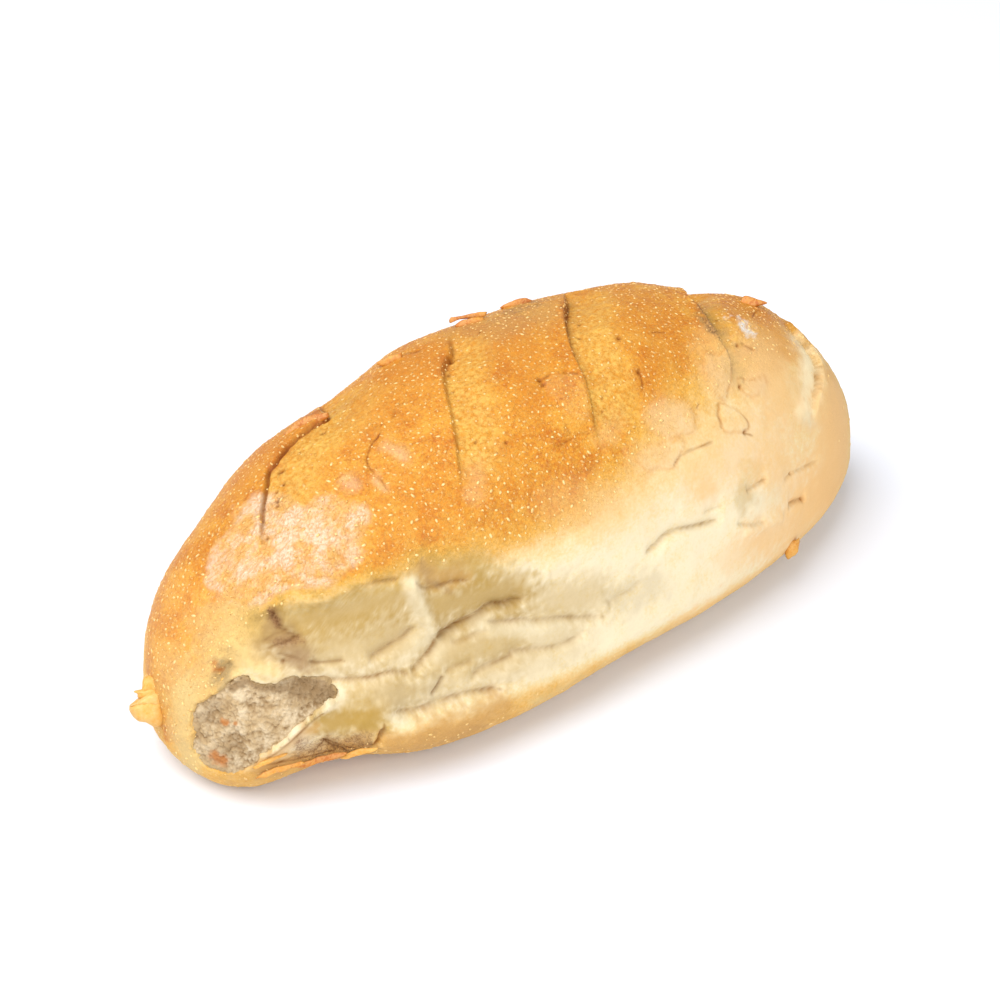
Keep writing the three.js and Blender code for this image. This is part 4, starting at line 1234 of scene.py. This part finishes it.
# %% Outlines of the scraps
SCRAPS = {  # name: (root, thickness and roughness in mm, tone, outline)
    "nub_lobe": ((156, 706), 4.6, 0.5, 0.62, [
        (166, 700), (152, 694), (141, 698), (133, 702), (129, 707), (132, 714), (138, 720),
        (147, 723), (158, 727), (166, 716)]),
    "nub_ledge": ((156, 700), 3.6, 0.4, 0.5, [
        (164, 692), (150, 692), (141, 699), (134, 703), (130, 706), (140, 707), (152, 706),
        (163, 704)]),
    "nub_horn": ((154, 692), 2.2, 0.3, 0.66, [
        (160, 686), (148, 688), (139, 689), (134, 691), (137, 694), (138, 699), (150, 700),
        (162, 698)]),
    "nub_top": ((152, 684), 2.6, 0.4, 0.7, [
        (160, 672), (150, 675), (144, 678), (142, 686), (143, 692), (152, 694), (162, 690)]),
    "foot_crumb": ((788, 548), 1.7, 0.4, 0.8, [
        (799, 537), (794, 540), (788, 541), (785, 548), (785, 555), (788, 560), (792, 558),
        (797, 553), (799, 546)]),
    "crest_sliver": ((484, 319), 0.8, 0.2, 0.95, [
        (487, 312), (478, 312), (466, 315), (456, 317), (451, 317), (449, 321), (451, 323),
        (457, 320), (470, 319), (484, 317)]),
    "crest_chip": ((470, 324), 0.9, 0.3, 0.9, [
        (484, 317), (470, 318), (460, 321), (455, 326), (462, 329), (474, 326), (484, 322)]),
    "crest_scrap": ((516, 306), 1.0, 0.3, 0.95, [
        (532, 300), (524, 298), (514, 300), (504, 305), (500, 308), (508, 310), (520, 308),
        (530, 305)]),
    "crest_flap": ((752, 305), 1.0, 0.3, 0.9, [
        (740, 302), (744, 296), (752, 297), (758, 299), (768, 303), (764, 305), (758, 306),
        (750, 309), (742, 308)]),
    "shoulder_chip": ((392, 362), 0.9, 0.3, 0.9, [
        (402, 352), (394, 355), (386, 358), (377, 362), (380, 366), (390, 365), (400, 360)]),
    "foot_strand_a": ((276, 761), 0.6, 0.4, 0.8, [
        (254, 778), (266, 771), (282, 766), (300, 762), (306, 764), (292, 769), (276, 773),
        (264, 778)]),
    "foot_strand_b": ((322, 749), 0.6, 0.4, 0.97, [
        (296, 767), (310, 760), (326, 755), (342, 752), (348, 754), (334, 759), (316, 764),
        (304, 768)]),
    "foot_strand_c": ((356, 742), 0.5, 0.3, 0.75, [
        (338, 758), (350, 752), (364, 748), (378, 747), (374, 751), (360, 755), (346, 759)]),
    "foot_strand_d": ((268, 758), 0.5, 0.3, 0.7, [
        (252, 768), (262, 761), (276, 755), (288, 753), (280, 758), (266, 765), (256, 770)]),
    "slash_rim": ((306, 425), 1.2, 0.5, 0.95, [
        (328, 413), (316, 414), (304, 418), (294, 424), (286, 431), (284, 437), (292, 437),
        (304, 431), (318, 424), (328, 417)]),
}

# %% Lenses from outlines
LENS_RINGS = [1.0, 0.93, 0.8, 0.62, 0.4, 0.2]  # the front's rings, as shares of the outline


def lens_points(outline, root, thickness):
    """Rings of the front and the back, and their poles, where the camera sees the outline."""
    centre = outline.mean(0)
    reach = (meet_loaf([root])[0][0] - camera_place) @ -camera_back
    shells = []
    for facing, shares in ((1, LENS_RINGS), (-1, LENS_RINGS[1:])):
        for share in shares:
            rays = rays_to(centre + share * (outline - centre))
            flat = camera_place + rays * (reach / (rays @ -camera_back))[:, None]
            shells.append(flat + facing * thickness * math.sqrt(1 - share**2) * camera_back)
    poles = [shells[last].mean(0, keepdims=True) for last in (len(LENS_RINGS) - 1, -1)]
    return np.vstack([*shells, *poles])


def lens(outline, root, thickness, rough, seed):
    """A closed lens in the plane that faces the camera at its root on the loaf."""
    outline = smoothed(np.vstack([outline, outline[:1]]), 4)[:-1]
    points = lens_points(outline, root, thickness)
    points = points + rough * shifts(points, 3.0, seed)
    around, rings = len(outline), len(LENS_RINGS)
    here = np.arange(around)
    ahead = (here + 1) % around
    clockwise = np.cross(*(outline[[1, 0]] - outline.mean(0))) > 0
    front, back = list(range(rings)), [0, *range(rings, 2 * rings - 1)]
    sides = [(front, len(points) - 2, clockwise), (back, len(points) - 1, not clockwise)]
    faces = []
    for order, pole, flip in sides:
        for outer, inner in zip(order, order[1:]):
            ring = np.stack([outer * around + here, outer * around + ahead,
                             inner * around + ahead, inner * around + here], axis=1)
            faces += (ring[:, ::-1] if flip else ring).tolist()
        last = order[-1] * around
        fan = np.stack([last + here, last + ahead, np.full(around, pole)], axis=1)
        faces += (fan[:, ::-1] if flip else fan).tolist()
    return points, faces


# %% Make the scraps
scrap_points, scrap_faces, scrap_tone = [], [], []
for number, (root, thickness, rough, tone, outline) in enumerate(SCRAPS.values()):
    points, lens_faces = lens(outline, root, thickness, rough, 30 + number)
    start = sum(len(rows) for rows in scrap_points)
    scrap_faces += [[start + corner for corner in face] for face in lens_faces]
    scrap_points.append(points)
    scrap_tone.append(np.full(len(points), tone))
scraps = add_mesh("crust_scraps", np.vstack(scrap_points), scrap_faces)
keep_values(scraps, bake=np.concatenate(scrap_tone))
print("scraps:", ", ".join(SCRAPS))

# %% [markdown]
# ## Colours
# A picture colour is a mix of paint and light. The loaf stands in bright light that would push white
# beyond white, so every paint is the colour seen, divided by the light level. Node trees get long, so
# we make small helpers first: one blends colours, one remaps a value, one reads a painted value.

# %% Node helpers


def blend(tree, share, first, second, how="MIX"):
    """Colour first, with a share of colour second laid over it."""
    inputs = {0: share, 6: first, 7: second}
    return add_node(tree, "ShaderNodeMix", inputs, data_type="RGBA", blend_type=how).outputs[2]


def remap(tree, value, low, high, to_low=0.0, to_high=1.0, smooth=True):
    inputs = {"Value": value, "From Min": low, "From Max": high, "To Min": to_low, "To Max": to_high}
    kind = "SMOOTHSTEP" if smooth else "LINEAR"
    return add_node(tree, "ShaderNodeMapRange", inputs, interpolation_type=kind).outputs[0]


def math_of(tree, operation, first, second=0.0):
    node = add_node(tree, "ShaderNodeMath", {0: first, 1: second}, operation=operation)
    return node.outputs[0]


def times(tree, first, *others):
    """The product of values and node outputs."""
    for other in others:
        first = math_of(tree, "MULTIPLY", first, other)
    return first


def plus(tree, first, *others):
    for other in others:
        first = math_of(tree, "ADD", first, other)
    return first


def laid(tree, colour, over, *shares):
    """A colour with another laid over it, by the product of the shares."""
    return blend(tree, times(tree, *shares), colour, over)


def painted(tree, name):
    return add_node(tree, "ShaderNodeAttribute", attribute_name=name).outputs["Fac"]


def millimetres(tree):
    """Object coordinates in millimetres."""
    place = add_node(tree, "ShaderNodeTexCoord").outputs["Object"]
    inputs = {0: place, 1: (1000, 1000, 1000)}
    return add_node(tree, "ShaderNodeVectorMath", inputs, operation="MULTIPLY").outputs[0]


def sized_group(name, output, **inputs):
    """A node group, its inputs, the place in it, the scale of its first input, and its output."""
    group = bpy.data.node_groups.new(name, "ShaderNodeTree")
    for socket, default in inputs.items():
        made = group.interface.new_socket(socket, in_out="INPUT", socket_type="NodeSocketFloat")
        made.default_value = default
    group.interface.new_socket(output, in_out="OUTPUT", socket_type="NodeSocketFloat")
    given = group.nodes.new("NodeGroupInput").outputs
    out = group.nodes.new("NodeGroupOutput").inputs[output]
    scale = math_of(group, "DIVIDE", 1.0, given[0])
    return group, given, millimetres(group), scale, out


def use_group(tree, group, **inputs):
    node = tree.nodes.new("ShaderNodeGroup")
    node.node_tree = group
    for name, value in inputs.items():
        node.inputs[name].default_value = value
    return node.outputs[0]


# %% [markdown]
# ## Effects as node groups
# Bread has no flat colour anywhere. Mottling makes broad and fine clouds for every finish. Fibres are
# the short, curved hairs and ripples of dried dough, which we get from the middle lines of a noise.
# Blisters are pinhead bubbles under the skin, and wrinkles the walls between bent cells, both for the
# crust. Each effect is a node group with its sizes in millimetres, built once and used at many sizes.

# %% Mottling, fibres, blisters and wrinkles
mottle, _, place, scale, out = sized_group("mottle", "Clouds", Size=6.0)
inputs = {"Vector": place, "Scale": scale, "Detail": 4.0, "Roughness": 0.65}
broad = add_node(mottle, "ShaderNodeTexNoise", inputs)
mottle.links.new(broad.outputs["Fac"], out)

fibres, given, place, scale, out = sized_group("fibres", "Lines", Size=1.6, Thin=0.06)
inputs = {"Vector": place, "Scale": scale, "Detail": 1.5, "Distortion": 1.2}
wavy = add_node(fibres, "ShaderNodeTexNoise", inputs)
from_zero = math_of(fibres, "ABSOLUTE", math_of(fibres, "SUBTRACT", wavy.outputs["Fac"], 0.5))
fibres.links.new(remap(fibres, from_zero, 0.0, given["Thin"], 1.0, 0.0), out)

blisters, given, place, scale, out = sized_group("blisters", "Domes", Spacing=3.0, Radius=0.16)
cells = add_node(blisters, "ShaderNodeTexVoronoi", {"Vector": place, "Scale": scale})
dome = remap(blisters, cells.outputs["Distance"], 0.0, given["Radius"], 1.0, 0.0)
chosen = add_node(blisters, "ShaderNodeSeparateColor", {0: cells.outputs["Color"]}).outputs[0]
blisters.links.new(times(blisters, dome, remap(blisters, chosen, 0.4, 0.6)), out)

wrinkles, given, place, scale, out = sized_group("wrinkles", "Folds", Size=2.0, Width=0.1)
bend = add_node(wrinkles, "ShaderNodeTexNoise", {"Vector": place, "Scale": 0.4, "Detail": 2.0})
inputs = {0: bend.outputs["Color"], 1: (3.5, 3.5, 3.5), 2: place}
bent = add_node(wrinkles, "ShaderNodeVectorMath", inputs, operation="MULTIPLY_ADD")
inputs = {"Vector": bent.outputs[0], "Scale": scale}
cells = add_node(wrinkles, "ShaderNodeTexVoronoi", inputs, feature="DISTANCE_TO_EDGE")
wrinkles.links.new(remap(wrinkles, cells.outputs["Distance"], 0.0, given["Width"], 1.0, 0.0), out)

# %% [markdown]
# ## The crust's finish
# The colour of crust is a measure of how far it baked, from cream where the loaf touched a neighbour,
# by straw and peach, to orange-gold and a scorched brown. One colour ramp says that, and reads the
# painted bake with some mottling. Washes, slash floors, wrinkled skin, plates and lines are laid over
# it, with painted highlights on the film, the plates and the blisters, and painted shade in the lines.

# %% Crust material


def new_material(name):
    material = bpy.data.materials.get(name) or bpy.data.materials.new(name)
    material.use_nodes = True
    tree = material.node_tree
    tree.nodes.clear()
    shader = add_node(tree, "ShaderNodeBsdfPrincipled")
    add_node(tree, "ShaderNodeOutputMaterial", {"Surface": shader.outputs[0]})
    return material, tree, shader


BAKE_STOPS = [
    (0.0, (258, 242, 206)), (0.14, (256, 234, 182)), (0.3, (256, 222, 158)), (0.45, (254, 206, 128)),
    (0.6, (248, 191, 92)), (0.75, (240, 171, 62)), (0.87, (226, 144, 42)), (1.0, (200, 110, 32)),
]


CLOUDS = [(9.0, 0.65), (1.1, 0.6)]  # size in mm, strength


def baked_colour(tree, spread):
    """The ramp of bread colours, read by the painted bake and clouded by mottling of two sizes."""
    clouds = []
    for size, strength in CLOUDS:
        offset = math_of(tree, "SUBTRACT", use_group(tree, mottle, Size=size), 0.5)
        clouds.append(times(tree, offset, strength * spread))
    level = plus(tree, painted(tree, "bake"), plus(tree, *clouds))
    ramp = add_node(tree, "ShaderNodeValToRGB", {0: level})
    ramp.color_ramp.interpolation = "B_SPLINE"
    for number, (position, colour) in enumerate(BAKE_STOPS):
        if number < 2:
            stop = ramp.color_ramp.elements[number]
            stop.position = position
        else:
            stop = ramp.color_ramp.elements.new(position)
        stop.color = paint(*colour)
    return ramp.outputs[0], level


# %% The crust's colours, laid one over another
crust, tree, shader = new_material("loaf crust")
colour, level = baked_colour(tree, 0.9)
fine_lines = use_group(tree, fibres, Size=1.5, Thin=0.035)
domes = use_group(tree, blisters, Spacing=2.2, Radius=0.2)
small_folds = use_group(tree, wrinkles, Size=0.9, Width=0.14)
on_crown = remap(tree, level, 0.4, 0.8)
film_share, shine_share, covered_share = (painted(tree, name) for name in ("film", "shine", "covered"))

# washes, with the light and shade painted in them, lie on the baked colour
colour = blend(tree, covered_share, colour, (0, 0, 0, 1))
washed = add_node(tree, "ShaderNodeAttribute", attribute_name="wash").outputs["Color"]
colour = blend(tree, 1.0, colour, washed, "ADD")
fleck_light = remap(tree, use_group(tree, mottle, Size=0.8), 0.3, 0.7, 0.91, 1.1, smooth=False)
inputs = {channel: fleck_light for channel in range(3)}
flecks = add_node(tree, "ShaderNodeCombineColor", inputs).outputs[0]
colour = blend(tree, remap(tree, level, 0.3, 0.7, 0.25, 1.0), colour, flecks, "MULTIPLY")

# bright fibres, and bubble heads that are paler with a painted glint, on the crown
colour = laid(tree, colour, paint(262, 216, 130), on_crown, 0.42, fine_lines)
colour = laid(tree, colour, paint(264, 230, 156), on_crown, 0.8, domes)

# slash floors: streaked and yellower
streaks = remap(tree, use_group(tree, mottle, Size=1.5), 0.32, 0.68)
floor_colour = blend(tree, streaks, paint(222, 150, 44), paint(255, 212, 112))
unwashed = remap(tree, covered_share, 0.2, 0.9, 1.0, 0.1)
colour = laid(tree, colour, floor_colour, painted(tree, "slash"), 0.62, unwashed)

# film: zones of pale painted highlight between orange-brown folds
film_highlight = remap(tree, use_group(tree, mottle, Size=10.0), 0.4, 0.62)
film_colour = blend(tree, film_highlight, paint(250, 190, 98), paint(262, 232, 198))
film_colour = laid(tree, film_colour, paint(242, 172, 80), small_folds, 0.24)
film_colour = laid(tree, film_colour, paint(236, 156, 68), painted(tree, "folds"), 0.6)
colour = laid(tree, colour, film_colour, film_share, 0.86)

# plates of skin: pinker inside with a painted highlight, browner at their rims
crinkled = math_of(tree, "SUBTRACT", 0.36, times(tree, small_folds, 0.34))
colour = laid(tree, colour, paint(256, 214, 160), shine_share, crinkled)
colour = laid(tree, colour, paint(220, 140, 58), painted(tree, "rims"), 0.3)

# umber places are full of dark fibres, and the lines get painted shade, darkest of all
dark_fibres = use_group(tree, fibres, Size=1.4, Thin=0.09)
colour = laid(tree, colour, paint(118, 78, 46), dark_fibres, painted(tree, "umber"))
line_shade_share = times(tree, painted(tree, "lines"), 0.95)
colour = blend(tree, line_shade_share, colour, (0.38, 0.21, 0.05, 1), "MULTIPLY")
tree.links.new(colour, shader.inputs["Base Color"])

# %% The crust's gloss and fine bumps
tree.links.new(remap(tree, level, 0.3, 0.8, 0.68, 0.5), shader.inputs["Roughness"])
shader.inputs["Specular IOR Level"].default_value = 0.2
glossy = plus(tree, times(tree, film_share, 0.5), shine_share)
tree.links.new(glossy, shader.inputs["Coat Weight"])
shader.inputs["Coat Roughness"].default_value = 0.3

GRAIN_SIZE, BUMP_RISE = 0.7, 0.00022  # mm, and metres at full height
inputs = {"Vector": millimetres(tree), "Scale": 1 / GRAIN_SIZE, "Detail": 3.0}
grain = add_node(tree, "ShaderNodeTexNoise", inputs).outputs["Fac"]
height = plus(
    tree,
    times(tree, grain, remap(tree, level, 0.2, 0.7, 0.15, 0.8)),
    times(tree, fine_lines, remap(tree, level, 0.2, 0.7, 0.06, 0.35)),
    times(tree, domes, on_crown, 0.4),
    times(tree, small_folds, film_share, -0.4),
)
bump = add_node(tree, "ShaderNodeBump", {"Height": height, "Distance": BUMP_RISE, "Strength": 1.0})
tree.links.new(bump.outputs[0], shader.inputs["Normal"])
loaf.data.materials.append(crust)

# %% Blister and scrap materials


def finish_with(tree, shader, colour, roughness, specular):
    """Gives a shader its colour, and the same roughness and specular level all over."""
    tree.links.new(colour, shader.inputs["Base Color"])
    shader.inputs["Roughness"].default_value = roughness
    shader.inputs["Specular IOR Level"].default_value = specular


# blister heads: paler than the crust, partly a painted glint
blister_finish, tree, shader = new_material("blister heads")
colour, _ = baked_colour(tree, 0.7)
pale_and_glint = remap(tree, use_group(tree, mottle, Size=3.0), 0.4, 0.6, 0.35, 0.95)
finish_with(tree, shader, blend(tree, pale_and_glint, colour, paint(268, 232, 158)), 0.45, 0.3)

scrap_finish, tree, shader = new_material("dry crust")
colour, _ = baked_colour(tree, 0.9)
pale = use_group(tree, fibres, Size=2.4, Thin=0.12)
finish_with(tree, shader, laid(tree, colour, paint(244, 190, 108), pale, 0.4), 0.5, 0.5)
scraps.data.materials.append(scrap_finish)

# %% Crumb material
crumb_finish, tree, shader = new_material("crumb")
clouds = remap(tree, use_group(tree, mottle, Size=7.0), 0.38, 0.62)
lit = blend(tree, clouds, paint(202, 172, 128), paint(230, 207, 170))
# the hollows between the lumps get a darker paint: painted shade
raised = remap(tree, painted(tree, "height"), -0.9, 0.3)
colour = blend(tree, raised, paint(166, 134, 92), lit)
# stains, and painted shade under the torn crust's top edge
colour = blend(tree, painted(tree, "stain_and_shade"), colour, paint(150, 120, 82))
colour = blend(tree, painted(tree, "spot"), colour, paint(196, 124, 60))
by_crust = remap(tree, painted(tree, "inside"), 0.8, 0.0, 0.0, 0.3)
colour = blend(tree, by_crust, colour, paint(214, 182, 126))
finish_with(tree, shader, colour, 0.85, 0.25)
crumb.data.materials.append(crumb_finish)

# %% [markdown]
# ## Floor and light
# The loaf stands on a white floor in a white room. A broad soft key, high up behind it, leaves only a
# short shadow where the loaf bulges over the floor, and a fill from the camera's right keeps the flank
# bright. The floor is a very light blue grey, which cancels the warm light that bread throws on it.

# %% Floor, room and lamps
floor_mesh = bpy.data.meshes.new("floor")
floor_mesh.from_pydata([(-6, -6, 0), (6, -6, 0), (6, 6, 0), (-6, 6, 0)], [], [(0, 1, 2, 3)])
floor = put_in_scene("floor", floor_mesh)
white, tree, shader = new_material("white floor")
shader.inputs["Base Color"].default_value = (0.8, 0.825, 0.89, 1)
shader.inputs["Roughness"].default_value = 0.9
shader.inputs["Specular IOR Level"].default_value = 0.1
floor.data.materials.append(white)

world = bpy.data.worlds.new("room")
world.use_nodes = True
world.node_tree.nodes["Background"].inputs[0].default_value = (1, 1, 1, 1)
world.node_tree.nodes["Background"].inputs[1].default_value = 0.48
bpy.context.scene.world = world
bpy.context.scene.view_settings.view_transform = "Standard"


def soft_light(name, place, aim, size, watts):
    lamp = bpy.data.lights.new(name, "AREA")
    lamp.shape = "DISK"
    lamp.size = size
    lamp.energy = watts
    holder = put_in_scene(name, lamp)
    holder.location = place
    holder.rotation_euler = (Vector(aim) - Vector(place)).to_track_quat("-Z", "Y").to_euler()


LOAF_MIDDLE = (0, 0, 0.05)
to_camera = unit(camera_back * np.array([1, 1, 0]))
fill_place = 0.5 * camera_right + 1.1 * to_camera + np.array([0, 0, 0.75])
soft_light("key", (-0.95, 0.35, 1.85), LOAF_MIDDLE, 2.6, 58)
soft_light("fill", fill_place, LOAF_MIDDLE, 1.0, 11)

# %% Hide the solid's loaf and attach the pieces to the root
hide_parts("loaf")
for piece in (loaf, blister_piece, crumb, scraps):
    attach(piece, "root")
